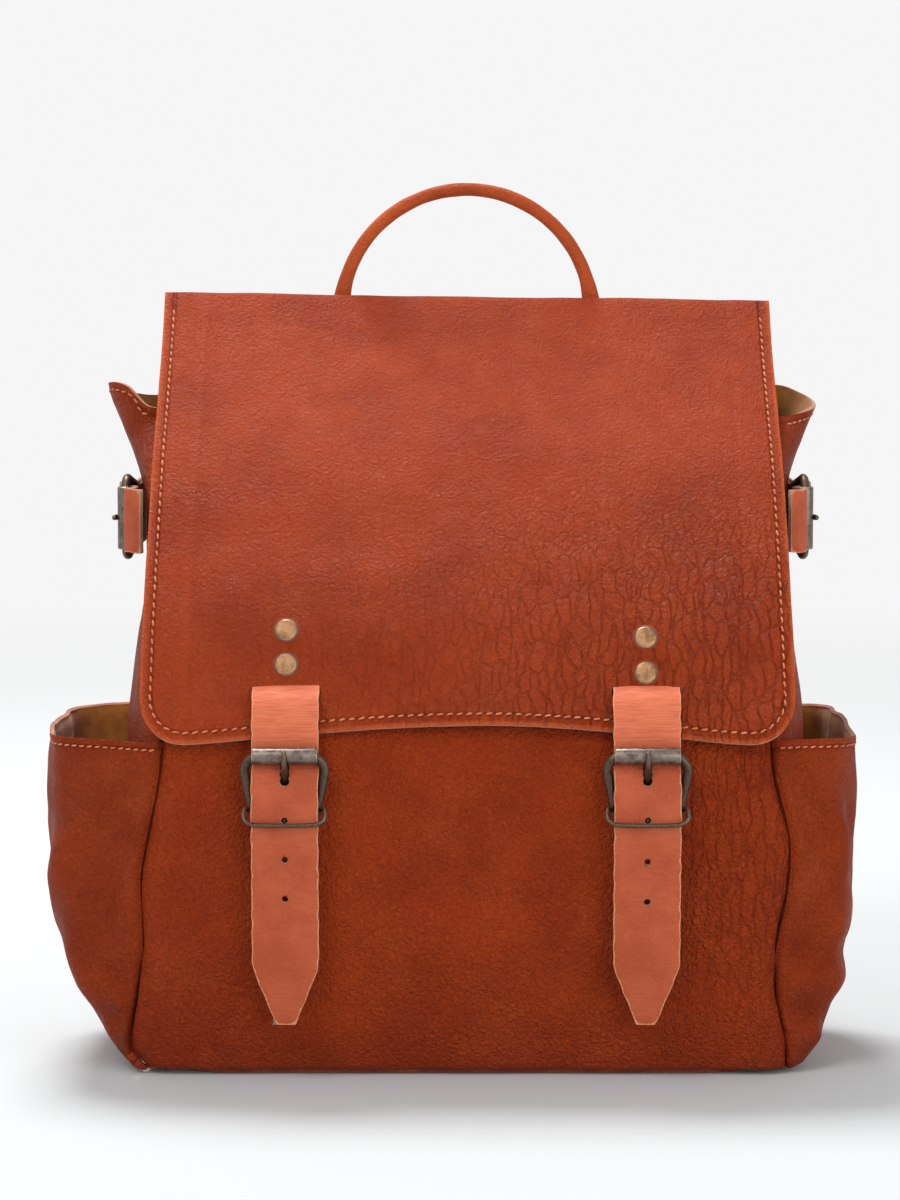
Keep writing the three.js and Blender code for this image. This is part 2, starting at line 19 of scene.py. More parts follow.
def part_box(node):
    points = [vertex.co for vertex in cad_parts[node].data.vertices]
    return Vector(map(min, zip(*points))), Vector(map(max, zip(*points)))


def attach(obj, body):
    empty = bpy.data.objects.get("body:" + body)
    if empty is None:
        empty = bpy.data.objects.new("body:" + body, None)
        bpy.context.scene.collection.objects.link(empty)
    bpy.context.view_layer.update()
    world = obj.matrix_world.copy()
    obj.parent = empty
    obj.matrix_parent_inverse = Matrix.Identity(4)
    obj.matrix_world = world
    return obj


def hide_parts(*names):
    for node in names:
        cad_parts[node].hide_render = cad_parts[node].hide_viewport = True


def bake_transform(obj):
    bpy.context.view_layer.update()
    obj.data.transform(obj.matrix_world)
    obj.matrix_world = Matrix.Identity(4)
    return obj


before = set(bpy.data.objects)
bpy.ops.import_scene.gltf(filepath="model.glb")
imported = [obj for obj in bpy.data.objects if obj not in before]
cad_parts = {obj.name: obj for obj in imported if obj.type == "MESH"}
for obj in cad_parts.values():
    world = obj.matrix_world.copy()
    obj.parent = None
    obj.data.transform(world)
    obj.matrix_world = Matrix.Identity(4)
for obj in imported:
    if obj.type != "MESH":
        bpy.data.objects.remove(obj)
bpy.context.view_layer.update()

MM = 0.001
scene = bpy.context.scene

# %% [markdown]
# ## Camera, floor and light
# The bag is looked at from the front and a little from above with a long lens, which keeps its sides
# straight. The floor is a wide shallow bowl turned with a Screw: its rim rises out of sight and takes the
# place of a backdrop from every side. One large soft lamp high on the left shapes the leather, a weaker
# one low on the right opens the shadows, a third above and behind draws the top edges, and the sky fills
# in the rest. The Standard view keeps colours as they are mixed.

# %% Camera
lens = bpy.data.cameras.new("camera")
lens.lens, lens.sensor_width = 116, 36
camera = bpy.data.objects.new("camera", lens)
camera.location = (-0.0072, -1.8, 0.4004)
camera.rotation_euler = (math.radians(84), 0, 0)
scene.collection.objects.link(camera)
scene.camera = camera
scene.view_settings.view_transform = "Standard"
print("camera lens:", lens.lens, "mm")


# %% Objects, stacks and places
def new_object(name, mesh):
    thing = bpy.data.objects.new(name, mesh)
    scene.collection.objects.link(thing)
    return thing


def modifier(thing, kind, **settings):
    made = thing.modifiers.new(kind.title(), kind)
    for key, value in settings.items():
        setattr(made, key, value)
    return made


def apply_stack(thing):
    """Turns what the modifiers make into the object's own mesh."""
    graph = bpy.context.evaluated_depsgraph_get()
    ready = thing.evaluated_get(graph)
    mesh = bpy.data.meshes.new_from_object(ready, preserve_all_data_layers=True, depsgraph=graph)
    thing.modifiers.clear()
    thing.data = mesh
    mesh.name = thing.name
    return thing


def settle(thing, matrix):
    """Moves the mesh itself, so that the object stays at the origin. A mirror also turns the faces back."""
    thing.data.transform(matrix)
    if matrix.determinant() < 0:
        thing.data.flip_normals()
    return thing


def smooth(thing):
    thing.data.polygons.foreach_set("use_smooth", [True] * len(thing.data.polygons))
    return thing


def belongs(thing, body, slot, *nodes):
    """Ties a finished piece to its body and the solids that it stands for. slot is not used."""
    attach(thing, body)
    if nodes:
        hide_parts(*nodes)
    return thing


# %% Floor
def turned(name, profile, steps):
    """A profile of (radius, height) points in millimetres, turned about Z by a Screw."""
    mesh = bpy.data.meshes.new(name)
    points = [(r * MM, 0, h * MM) for r, h in profile]
    mesh.from_pydata(points, [(i, i + 1) for i in range(len(points) - 1)], [])
    thing = new_object(name, mesh)
    modifier(thing, "SCREW", steps=steps, render_steps=steps, use_merge_vertices=True,
             merge_threshold=0.00002, use_smooth_shade=True)
    return apply_stack(thing)


BOWL = [(4600 + 1300 * math.sin(a), 1300 - 1300 * math.cos(a)) for a in
        [math.radians(step) for step in range(90, -1, -10)]]
floor = turned("floor", [*BOWL, (2400, 0), (900, 0), (0, 0)], 96)


def soft_lamp(name, place, aim, size, power):
    data = bpy.data.lights.new(name, "AREA")
    data.shape, data.size, data.energy = "DISK", size, power
    lamp = bpy.data.objects.new(name, data)
    lamp.location = place
    lamp.rotation_euler = (Vector(aim) - Vector(place)).to_track_quat("-Z", "Y").to_euler()
    scene.collection.objects.link(lamp)


soft_lamp("key_lamp", (-1.1, -2.0, 2.4), (0, 0, 0.18), 1.4, 31)
soft_lamp("fill_lamp", (1.4, -2.2, 0.7), (0, 0, 0.1), 1.6, 22)
soft_lamp("roof_lamp", (-0.35, 0.75, 2.0), (0, 0, 0.1), 0.8, 44)
world = bpy.data.worlds.new("sky")
world.use_nodes = True
world.node_tree.nodes["Background"].inputs["Color"].default_value = (1, 0.995, 0.985, 1)
world.node_tree.nodes["Background"].inputs["Strength"].default_value = 0.66
scene.world = world
print("stage: floor and", len(bpy.data.lights), "lamps")

# %% [markdown]
# ## Leather
# Full-grain cowhide is never one colour. The dye takes unevenly, the grain is a net of tiny cells, and
# where the hide was stretched it shows longer wrinkles and creases, which look darker because they hold
# the shade. One recipe makes them all in three sizes of Voronoi cells, each bent by noise so that no line
# is straight: pores, wrinkle cells and long creases. A mask says where the wrinkles are strong. The
# pattern reads the place where each point was laid out, kept on the mesh as "laid", so it stays put when
# a flap or a strap bends.


# %% Writing node trees briefly
class Recipe:
    """A material being mixed: each call adds one node and returns its first output."""

    def __init__(self, name):
        self.material = bpy.data.materials.new(name)
        self.material.use_nodes = True
        self.tree = self.material.node_tree
        self.surface = self.tree.nodes["Principled BSDF"]

    def put(self, socket, value):
        if isinstance(value, bpy.types.NodeSocket):
            self.tree.links.new(value, socket)
        elif isinstance(value, tuple) and len(value) == 3 and socket.type == "RGBA":
            socket.default_value = (*value, 1)
        else:
            socket.default_value = value

    def node(self, kind, inputs, output=0, **settings):
        made = self.tree.nodes.new("ShaderNode" + kind)
        for key, value in settings.items():
            setattr(made, key, value)
        for key, value in inputs.items():
            self.put(made.inputs[key], value)
        return made.outputs[output]

    def sum(self, operation, a, b=0.0, c=0.0):
        return self.node("Math", {0: a, 1: b, 2: c}, operation=operation)

    def ramp(self, value, low, high, start=0.0, end=1.0):
        """Rises smoothly from start to end while value goes from low to high."""
        return self.node("MapRange", {0: value, 1: low, 2: high, 3: start, 4: end},
                         interpolation_type="SMOOTHSTEP")

    def mix(self, share, a, b, how="MIX"):
        return self.node("Mix", {0: share, 6: a, 7: b}, output=2, data_type="RGBA", blend_type=how)

    def noise(self, where, scale, detail=3.0, rough=0.55):
        return self.node("TexNoise", {"Vector": where, "Scale": scale, "Detail": detail, "Roughness": rough})

    def bend(self, where, scale, amount):
        """Pushes the pattern about by noise, so that its lines wander."""
        push = self.node("TexNoise", {"Vector": where, "Scale": scale, "Detail": 2.0}, output=1)
        push = self.node("VectorMath", {0: push, 1: (0.5, 0.5, 0.5)}, operation="SUBTRACT")
        push = self.node("VectorMath", {0: push, 3: amount}, operation="SCALE")
        return self.node("VectorMath", {0: where, 1: push}, operation="ADD")

    def cracks(self, where, scale, width):
        """1 in the middle of each cell and 0 along the lines between cells."""
        edge = self.node("TexVoronoi", {"Vector": where, "Scale": scale}, feature="DISTANCE_TO_EDGE")
        return self.ramp(edge, 0.0, width)

    def finish(self, height=None, depth=0.0003, **sockets):
        if height is not None:
            sockets["Normal"] = self.node("Bump", {"Height": height, "Distance": depth, "Strength": 1.0})
        for key, value in sockets.items():
            self.put(self.surface.inputs[key.replace("_", " ")], value)
        return self.material


def tint(red, green, blue):
    """A colour given as it looks on a screen, 0 to 255, for a shader."""
    return tuple((c / 255 / 12.92 if c < 11 else ((c / 255 + 0.055) / 1.055) ** 2.4)
                 for c in (red, green, blue))


print("recipe book open")


# %% The hide recipe
def hide(name, pale, plain, deep, pores=1.0, wrinkles=None, creases=None, edge=None, groove=0.0,
         pore_size=1.0, rough=0.5):
    """A leather. wrinkles and creases take (recipe, x, y, z) in metres and return the mask of each."""
    r = Recipe(name)
    laid = r.node("Attribute", {}, output=1, attribute_name="laid")
    place = r.node("VectorMath", {0: laid, 3: 1000.0}, operation="SCALE")
    xyz = r.tree.nodes.new("ShaderNodeSeparateXYZ")
    r.put(xyz.inputs[0], laid)
    x, y, z = xyz.outputs
    wander = r.bend(place, 0.3, 2.2)
    pore = r.cracks(r.bend(place, 0.9, 0.7), 1.15 / pore_size, 0.34)
    cell = r.cracks(wander, 0.34, 0.3)
    long = r.node("Mapping", {0: r.bend(place, 0.07, 9.0), 3: (1.4, 1.0, 0.3)})
    crease = r.cracks(long, 0.15, 0.14)
    patchy = r.noise(place, 0.035, 3.0)
    cell_mask = wrinkles(r, x, y, z) if wrinkles else 0.25
    crease_mask = creases(r, x, y, z) if creases else 0.0
    cell_mask = r.sum("MULTIPLY", cell_mask, r.ramp(patchy, 0.3, 0.6, 0.35, 1.0))
    cell_low = r.sum("MULTIPLY", r.sum("SUBTRACT", 1.0, cell), cell_mask)
    crease_low = r.sum("MULTIPLY", r.sum("SUBTRACT", 1.0, crease), crease_mask)
    colour = r.mix(r.ramp(r.noise(place, 0.022, 4.0), 0.32, 0.68), deep, plain)
    colour = r.mix(r.ramp(patchy, 0.42, 0.78, 0.0, 0.6), colour, pale)
    colour = r.mix(r.ramp(r.noise(place, 1.6, 4.0, 0.7), 0.3, 0.72, 0.0, 0.32), colour, deep)
    dark = tuple(c * 0.42 for c in deep)
    # Painted shade: the wrinkle cells and the creases are coloured darker, as the shade in their hollows.
    colour = r.mix(r.sum("MULTIPLY", cell_low, 0.3), colour, dark)
    colour = r.mix(r.sum("MULTIPLY", crease_low, 0.4), colour, dark)
    height = r.sum("MULTIPLY", pore, 0.42 * pores)
    height = r.sum("SUBTRACT", height, r.sum("MULTIPLY", cell_low, 0.8))
    height = r.sum("SUBTRACT", height, r.sum("MULTIPLY", crease_low, 1.4))
    height = r.sum("ADD", height, r.sum("MULTIPLY", r.noise(place, 0.24, 3.0), 0.9))
    height = r.sum("ADD", height, r.sum("MULTIPLY", r.noise(wander, 0.62, 2.0), 2.6 * pores))
    rim = r.node("Attribute", {}, output=2, attribute_name="rim")
    if groove:
        off = r.sum("ABSOLUTE", r.sum("SUBTRACT", rim, groove))
        sunk = r.ramp(off, 0.0, 1.5, 1.0, 0.0)
        height = r.sum("SUBTRACT", height, r.sum("MULTIPLY", sunk, 1.5))
        # Painted shade: the colour darkens in the stitch groove, as the shade in its hollow.
        colour = r.mix(r.sum("MULTIPLY", sunk, 0.35), colour, dark)
    if edge:
        band = r.ramp(r.sum("ADD", rim, r.sum("MULTIPLY", r.noise(place, 0.5), 1.2)), 0.8, 3.4, 1.0, 0.0)
        colour = r.mix(r.sum("MULTIPLY", band, 0.7), colour, edge)
    dull = r.ramp(r.noise(place, 0.09, 3.0), 0.3, 0.7, rough - 0.06, rough + 0.1)
    return r.finish(height, 0.00085, Base_Color=colour, Roughness=dull, Specular_IOR_Level=0.11)


# %% The hides of this bag
def all_over(share):
    return lambda r, x, y, z: share


def flap_wrinkles(r, x, y, z):
    low = r.ramp(z, 0.33, 0.23, 0.12, 1.0)
    right = r.ramp(x, -0.03, 0.13, 0.55, 1.0)
    return r.sum("MULTIPLY", r.sum("MULTIPLY", low, right), 0.7)


def flap_creases(r, x, y, z):
    low = r.ramp(z, 0.3, 0.2)
    right = r.ramp(r.sum("ADD", x, r.sum("MULTIPLY", z, -0.35)), -0.18, 0.05, 0.2, 0.9)
    return r.sum("MULTIPLY", r.sum("MULTIPLY", low, right), 0.9)


def body_wrinkles(r, x, y, z):
    right = r.ramp(x, 0.03, 0.12, 0.42, 0.9)
    low = r.ramp(z, 0.1, 0.02, 0.35, 0.8)
    return r.sum("MAXIMUM", right, low)


def body_creases(r, x, y, z):
    return r.sum("MULTIPLY", r.ramp(x, 0.05, 0.13), r.ramp(z, 0.02, 0.09, 0.4, 0.8))


flap_leather = hide("flap_leather", tint(168, 67, 25), tint(158, 58, 19), tint(140, 47, 15),
                    pores=0.7, wrinkles=flap_wrinkles, creases=flap_creases,
                    edge=tint(190, 84, 40), groove=4.8)
body_leather = hide("body_leather", tint(174, 68, 26), tint(162, 58, 17), tint(143, 47, 13),
                    pores=1.2, wrinkles=body_wrinkles, creases=body_creases, pore_size=1.15)
pocket_leather = hide("pocket_leather", tint(170, 70, 30), tint(156, 57, 18), tint(134, 45, 12),
                      pores=1.1, wrinkles=all_over(0.45), creases=None, groove=3.4)
back_leather = hide("back_leather", tint(152, 60, 27), tint(140, 50, 20), tint(120, 40, 15),
                    pores=0.9, wrinkles=all_over(0.35))
trim_leather = hide("trim_leather", tint(164, 70, 36), tint(150, 58, 27), tint(130, 46, 20),
                    pores=0.8, wrinkles=all_over(0.2), edge=tint(180, 82, 40), groove=3.6)
handle_leather = hide("handle_leather", tint(192, 92, 46), tint(176, 78, 36), tint(146, 58, 26),
                      pores=0.25, wrinkles=all_over(0.12))
print("hides:", len(bpy.data.materials))

# %% [markdown]
# ## Strap leather, raw edges, thread and metal
# The buckled straps are paler and smoother than the bag: vegetable-tanned leather with faint lines
# across, and a cut edge where the yellowish inside shows and frays. The flesh side and the cut edges are
# suede: ochre, fibrous and dull. The thread is waxed and peach-coloured. The buckles are dark bronze that
# is rubbed paler on its high places, which Geometry's Pointiness finds, and the rivets are old brass.


# %% Strap leather
def strap_hide(name):
    r = Recipe(name)
    laid = r.node("Attribute", {}, output=1, attribute_name="laid")
    place = r.node("VectorMath", {0: laid, 3: 1000.0}, operation="SCALE")
    across = r.noise(r.node("Mapping", {0: place, 3: (0.12, 0.6, 1.6)}), 0.9, 4.0)
    colour = r.mix(r.ramp(r.noise(place, 0.05, 3.0), 0.35, 0.65), tint(158, 70, 42), tint(174, 84, 54))
    spot = r.tree.nodes.new("ShaderNodeSeparateXYZ")
    r.put(spot.inputs[0], laid)
    colour = r.mix(r.ramp(spot.outputs[2], 0.150, 0.162), colour, tint(208, 111, 79))
    colour = r.mix(r.ramp(across, 0.35, 0.75, 0.0, 0.5), colour, tint(156, 66, 38))
    colour = r.mix(r.ramp(r.noise(place, 1.4, 4.0, 0.7), 0.45, 0.8, 0.0, 0.3), colour, tint(214, 124, 90))
    rim = r.node("Attribute", {}, output=2, attribute_name="rim")
    ragged = r.sum("ADD", rim, r.sum("MULTIPLY", r.noise(place, 0.9, 4.0), 1.1))
    colour = r.mix(r.ramp(ragged, 0.7, 1.2, 0.7, 0.0), colour, tint(206, 146, 108))
    height = r.sum("ADD", r.sum("MULTIPLY", across, 0.6), r.sum("MULTIPLY", r.noise(place, 2.2, 4.0), 0.35))
    return r.finish(height, 0.00022, Base_Color=colour, Roughness=r.ramp(across, 0.3, 0.7, 0.5, 0.66),
                    Specular_IOR_Level=0.15)


def suede(name, pale, deep, fuzz=1.0):
    r = Recipe(name)
    laid = r.node("Attribute", {}, output=1, attribute_name="laid")
    place = r.node("VectorMath", {0: laid, 3: 1000.0}, operation="SCALE")
    patchy = r.noise(r.bend(place, 0.2, 4.0), 0.12, 4.0)
    fibre = r.noise(r.bend(place, 1.2, 1.0), 2.4, 5.0, 0.7)
    colour = r.mix(r.ramp(patchy, 0.3, 0.7), deep, pale)
    # Painted shade: the suede is coloured darker in the low places of its fibre bump.
    colour = r.mix(r.ramp(fibre, 0.35, 0.7, 0.45, 0.0), colour, tuple(c * 0.5 for c in deep))
    return r.finish(fibre, 0.00035 * fuzz, Base_Color=colour, Roughness=0.92,
                    Specular_IOR_Level=0.15, Sheen_Weight=0.35, Sheen_Roughness=0.6)


strap_leather = strap_hide("strap_leather")
flesh_side = suede("flesh_side", tint(208, 138, 44), tint(170, 98, 28))
raw_edge = suede("raw_edge", tint(188, 110, 60), tint(150, 72, 36), 0.5)
strap_edge = suede("strap_edge", tint(206, 152, 110), tint(158, 98, 60), 0.8)
dark_edge = suede("dark_edge", tint(150, 66, 38), tint(112, 42, 22), 0.5)


# %% Thread and metal
def thread_look(name):
    r = Recipe(name)
    place = r.node("TexCoord", {}, output=3)
    fine = r.noise(place, 900.0, 3.0)
    twist = r.node("TexWave", {"Vector": place, "Scale": 900.0, "Distortion": 2.0},
                   bands_direction="DIAGONAL")
    colour = r.mix(r.ramp(r.noise(place, 60.0), 0.35, 0.65), tint(204, 106, 58), tint(228, 138, 86))
    # Painted shade: the thread is coloured darker in the grooves between its twists.
    colour = r.mix(r.ramp(twist, 0.0, 1.0, 0.4, 0.0), colour, tint(172, 84, 46))
    return r.finish(r.sum("ADD", twist, fine), 0.00012, Base_Color=colour, Roughness=0.6,
                    Sheen_Weight=0.2)


def metal_look(name, deep, plain, rubbed_and_lit, wear, rough):
    r = Recipe(name)
    place = r.node("TexCoord", {}, output=3)
    point = r.node("NewGeometry", {}, output=7)
    blotch = r.noise(place, 260.0, 5.0, 0.65)
    scratch = r.noise(r.node("Mapping", {0: place, 2: (0.3, 0.5, 0.2), 3: (1.0, 0.16, 0.5)}), 2600.0, 4.0)
    colour = r.mix(r.ramp(blotch, 0.35, 0.65), deep, plain)
    high = r.sum("ADD", r.ramp(point, 0.5, 0.58), r.sum("MULTIPLY", r.sum("SUBTRACT", scratch, 0.5), 1.2))
    colour = r.mix(r.sum("MULTIPLY", r.ramp(high, 0.25, 0.95), wear), colour, rubbed_and_lit)
    dull = r.ramp(blotch, 0.3, 0.7, rough - 0.08, rough + 0.14)
    height = r.sum("ADD", r.sum("MULTIPLY", scratch, 0.5), blotch)
    return r.finish(height, 0.00012, Base_Color=colour, Roughness=dull, Metallic=0.85)


thread = thread_look("waxed_thread")
bronze = metal_look("dark_bronze", tint(40, 28, 22), tint(60, 45, 36), tint(140, 118, 100), 0.5, 0.4)
# A paler copy of the bronze for the roller sleeves: painted highlight for their lit tops, with the rubbed
# high places as on the rest.
rubbed_and_lit = metal_look("painted_highlight_bronze", tint(92, 80, 72), tint(132, 118, 108), tint(196, 182, 170), 0.7, 0.36)
brass = metal_look("old_brass", tint(132, 96, 66), tint(178, 136, 98), tint(216, 180, 142), 0.6, 0.44)
print("materials:", len(bpy.data.materials))


def floor_look():
    r = Recipe("pale_floor")
    place = r.node("TexCoord", {}, output=3)
    away = r.ramp(r.node("VectorMath", {0: place}, operation="LENGTH", output=1), 0.7, 2.0)
    colour = r.mix(away, r.mix(r.noise(place, 1.2), tint(196, 199, 200), tint(200, 203, 204)), (0, 0, 0))
    return r.finish(Base_Color=colour, Roughness=0.9, Specular_IOR_Level=0.0,
                    Emission_Color=(1, 1, 1), Emission_Strength=r.sum("MULTIPLY", away, 0.915))


floor.data.materials.append(floor_look())

# %% [markdown]
# ## Laying out a hide
# Every leather panel starts as a coarse cage: a grid of points worked out from the lines a pattern maker
# would draw, such as a side view and a half width against height. Sizes here are in millimetres. The
# cage keeps where each point was laid ("laid") and how far it is from the cut edge ("rim"), because
# grain, edge colour and stitch groove follow those. A Subdivision Surface rounds it, Displace adds the
# slack that leather has, Solidify gives the hide its thickness with the flesh side inside and a cut edge
# all round, and a small Bevel takes the sharpness off that edge.


# %% Reading a pattern line
def read(table, place):
    """Reads a table of (place, value) pairs along a smooth line that never overshoots."""
    i = 0
    while i < len(table) - 2 and place > table[i + 1][0]:
        i += 1

    def slope(k):
        if k == 0 or k == len(table) - 1:
            return 0.0 if k else (table[1][1] - table[0][1]) / (table[1][0] - table[0][0])
        before = (table[k][1] - table[k - 1][1]) / (table[k][0] - table[k - 1][0])
        after = (table[k + 1][1] - table[k][1]) / (table[k + 1][0] - table[k][0])
        return 0.0 if before * after <= 0 else 2 * before * after / (before + after)

    (p0, v0), (p1, v1) = table[i], table[i + 1]
    run = p1 - p0
    t = min(1.0, max(0.0, (place - p0) / run))
    a, b = slope(i) * run, slope(i + 1) * run
    return (v0 * (1 + 2 * t) * (1 - t) ** 2 + a * t * (1 - t) ** 2
            + v1 * t * t * (3 - 2 * t) - b * t * t * (1 - t))


def line_through(points, step):
    """Points at even steps along a smooth line through the given ones."""
    points = [Vector(p) for p in points]
    ends = [2 * points[0] - points[1], *points, 2 * points[-1] - points[-2]]
    fine = []
    for a, b, c, d in zip(ends, ends[1:], ends[2:], ends[3:]):
        for k in range(24):
            t = k / 24
            fine.append(0.5 * (2 * b + (c - a) * t + (2 * a - 5 * b + 4 * c - d) * t * t
                               + (3 * b - a - 3 * c + d) * t ** 3))
    fine.append(points[-1])
    return even(fine, step)


def even(line, step):
    """The same line with its points spaced evenly, close to step apart."""
    runs = [0.0]
    for a, b in zip(line, line[1:]):
        runs.append(runs[-1] + (b - a).length)
    count = max(1, round(runs[-1] / step))
    spaced, k = [], 0
    for i in range(count + 1):
        want = runs[-1] * i / count
        while k < len(runs) - 2 and runs[k + 1] < want:
            k += 1
        span = max(1e-9, runs[k + 1] - runs[k])
        spaced.append(line[k].lerp(line[k + 1], (want - runs[k]) / span))
    return spaced


def spread(low, high, count):
    return [low + (high - low) * i / count for i in range(count + 1)]


def hump(value, middle, width):
    return math.exp(-(((value - middle) / width) ** 2))


# %% Cages, rims and stacks
def cage(name, rows, ring=False):
    """A grid mesh from rows of points in mm. ring closes each row. Faces look along row x next row."""
    across, up = len(rows[0]), len(rows)
    mesh = bpy.data.meshes.new(name)
    faces = []
    for j in range(up - 1):
        for i in range(across if ring else across - 1):
            k = (i + 1) % across
            faces.append((j * across + i, j * across + k, (j + 1) * across + k, (j + 1) * across + i))
    mesh.from_pydata([Vector(p) * MM for row in rows for p in row], [], faces)
    thing = new_object(name, mesh)
    return measure(thing)


def close_ends(thing, triangles=False):
    """Fills the open ends of a ringed cage. triangles splits the two new faces, for a remesh."""
    bm = bmesh.new()
    bm.from_mesh(thing.data)
    bmesh.ops.holes_fill(bm, edges=[e for e in bm.edges if e.is_boundary], sides=0)
    if triangles:
        bmesh.ops.triangulate(bm, faces=[f for f in bm.faces if len(f.verts) > 4])
    bmesh.ops.recalc_face_normals(bm, faces=bm.faces[:])
    bm.to_mesh(thing.data)
    bm.free()
    return thing


def measure(thing):
    """Keeps on the mesh where each point was laid and its distance in mm from the cut edge."""
    mesh = thing.data
    used = {}
    for face in mesh.polygons:
        for key in face.edge_keys:
            used[key] = used.get(key, 0) + 1
    samples = []
    for (a, b), count in used.items():
        if count == 1:
            p, q = mesh.vertices[a].co, mesh.vertices[b].co
            steps = max(1, int((q - p).length / 0.0012))
            samples += [p.lerp(q, k / steps) for k in range(steps + 1)]
    tree = KDTree(max(1, len(samples)))
    for i, p in enumerate(samples):
        tree.insert(p, i)
    tree.balance()
    rim = [min(60.0, tree.find(v.co)[2] / MM) if samples else 60.0 for v in mesh.vertices]
    mesh.attributes.new("rim", "FLOAT", "POINT").data.foreach_set("value", rim)
    laid = mesh.attributes.new("laid", "FLOAT_VECTOR", "POINT")
    laid.data.foreach_set("vector", [c for v in mesh.vertices for c in v.co])
    return thing


def weigh(thing, group, share):
    """A vertex group from a function of the point in mm."""
    made = thing.vertex_groups.new(name=group)
    for v in thing.data.vertices:
        made.add([v.index], max(0.0, min(1.0, share(v.co / MM))), "REPLACE")
    return thing


def slack(name, kind, size, **settings):
    texture = bpy.data.textures.new(name, kind)
    texture.noise_scale = size * MM
    for key, value in settings.items():
        setattr(texture, key, value)
    return texture


SAG = slack("sag", "CLOUDS", 42, noise_depth=1)
RIPPLE = slack("ripple", "CLOUDS", 13, noise_depth=2)
CREASE = slack("crease", "VORONOI", 17, weight_1=-1.0, weight_2=1.0, distance_metric="DISTANCE")


def displace(thing, texture, strength, group="", middle=0.5):
    modifier(thing, "DISPLACE", texture=texture, strength=strength * MM, texture_coords="LOCAL",
             vertex_group=group, mid_level=middle)


def cut_windows(thing, windows):
    """Cuts (low corner, high corner) boxes in mm out of a thin sheet, with straight clean edges."""
    bm = bmesh.new()
    bm.from_mesh(thing.data)
    for low, high in windows:
        low, high = Vector(low) * MM, Vector(high) * MM
        margin = Vector((4, 4, 4)) * MM

        def inside(p, slack_room):
            return all(low[k] - slack_room[k] <= p[k] <= high[k] + slack_room[k] for k in range(3))

        for axis in (0, 2):
            for corner in (low, high):
                faces = [f for f in bm.faces if inside(f.calc_center_median(), margin)]
                parts = {*faces, *(e for f in faces for e in f.edges), *(v for f in faces for v in f.verts)}
                normal = Vector((axis == 0, 0, axis == 2))
                bmesh.ops.bisect_plane(bm, geom=list(parts), plane_co=corner, plane_no=normal, dist=1e-6)
        gone = [f for f in bm.faces if inside(f.calc_center_median(), Vector((0, 0, 0)))]
        bmesh.ops.delete(bm, geom=gone, context="FACES")
    bm.to_mesh(thing.data)
    bm.free()


def thicken(thing, thickness, looks, levels=2, bevel=0.4, soft=((SAG, 1.2), (RIPPLE, 0.5)), windows=()):
    """The whole stack of a hide: rounded, slack, cut, thick, and broken at its cut edges."""
    for look in looks:
        thing.data.materials.append(look)
    smooth(thing)
    if levels:
        modifier(thing, "SUBSURF", levels=levels, render_levels=levels)
    for texture, strength, *rest in soft:
        displace(thing, texture, strength, *rest)
    if windows:
        apply_stack(thing)
        cut_windows(thing, windows)
    modifier(thing, "SOLIDIFY", thickness=thickness * MM, offset=-1, material_offset=1,
             material_offset_rim=2)
    if bevel:
        modifier(thing, "BEVEL", width=bevel * MM, segments=2, limit_method="ANGLE",
                 angle_limit=math.radians(50), use_clamp_overlap=True)
        modifier(thing, "WEIGHTED_NORMAL")
    return thing


def on_the_ground(thing):
    """The bag's weight presses its lowest folds flat, so nothing hangs below the base."""
    apply_stack(thing)
    for v in thing.data.vertices:
        z = v.co.z / MM
        if z < 4:
            v.co.z = (0.3 + (z + 2) * 3.7 / 6) * MM
    return thing


def pinch_shut(thing, height):
    """Low in the corner the hide is pinched shut, so only its grain side shows below that height in mm."""
    on_the_ground(thing)
    for face in thing.data.polygons:
        if face.center.z < height * MM:
            face.material_index = 0
    return thing


print("pattern tools ready")

# %% [markdown]
# ## Front panel
# One cowhide from the base seam to the mouth. It leans out over the full bag and falls back towards the
# mouth under the flap. Its sides are sewn to the gussets and pockets inside out and then turned, so its
# edges roll inwards and leave a deep dark valley. The two sides were never quite alike: each has its own
# table of half widths. Near the base the hide buckles into a soft ridge.

# %% Front panel
FRONT_SIDE_VIEW = [(0, -65), (6, -69), (20, -73.4), (60, -80.3), (100, -83.2), (125, -83.6), (148, -82.4),
                   (160, -78.6), (172, -71.5), (187, -62.8), (203, -55.8), (243, -35.5), (280, -8),
                   (298, 12.4)]
FRONT_HALF = {
    -1: [(0, 143), (5, 149), (15, 153.5), (31, 151), (49, 148), (66, 146), (90, 147), (110, 143.7),
         (150, 137), (200, 139), (298, 142)],
    1: [(0, 147), (16, 146), (27, 143.5), (41, 141), (60, 140.5), (76, 143), (90, 145.5), (108, 146.4),
        (122, 143.4), (147, 138), (200, 139.5), (298, 142)],
}


def front_face(z):
    return read(FRONT_SIDE_VIEW, z)


def front_half(side, z):
    return read(FRONT_HALF[side], z)


def front_point(x_share, z):
    side = -1 if x_share < 0 else 1
    half = front_half(side, z)
    inside = abs(x_share) * half
    off = half - inside
    y = front_face(z) + 5.2 * max(0.0, 1 - off / 9.0) ** 2
    y -= 1.5 * hump(z, 27 + 3 * math.sin(x_share * 4.2), 8) * hump(off, 90, 80)
    y += 1.2 * hump(z, 44, 8) * hump(x_share, 0.75, 0.35)
    y -= 1.1 * hump(x_share, 0.86, 0.09) * hump(z, 95, 45)
    y += 0.9 * hump(x_share, 0.72, 0.05) * hump(z, 100, 40)
    y -= 1.0 * hump(x_share, -0.83, 0.1) * hump(z, 80, 45)
    return Vector((side * inside, y, z))


def front_shares():
    """Columns crowd towards both seams, where the hide rolls in."""
    half = [0.0, 0.08, 0.16, 0.24, 0.32, 0.4, 0.48, 0.56, 0.64, 0.7, 0.76, 0.82, 0.87, 0.91, 0.945, 0.97,
            0.985, 1.0]
    return [-s for s in half[:0:-1]] + half


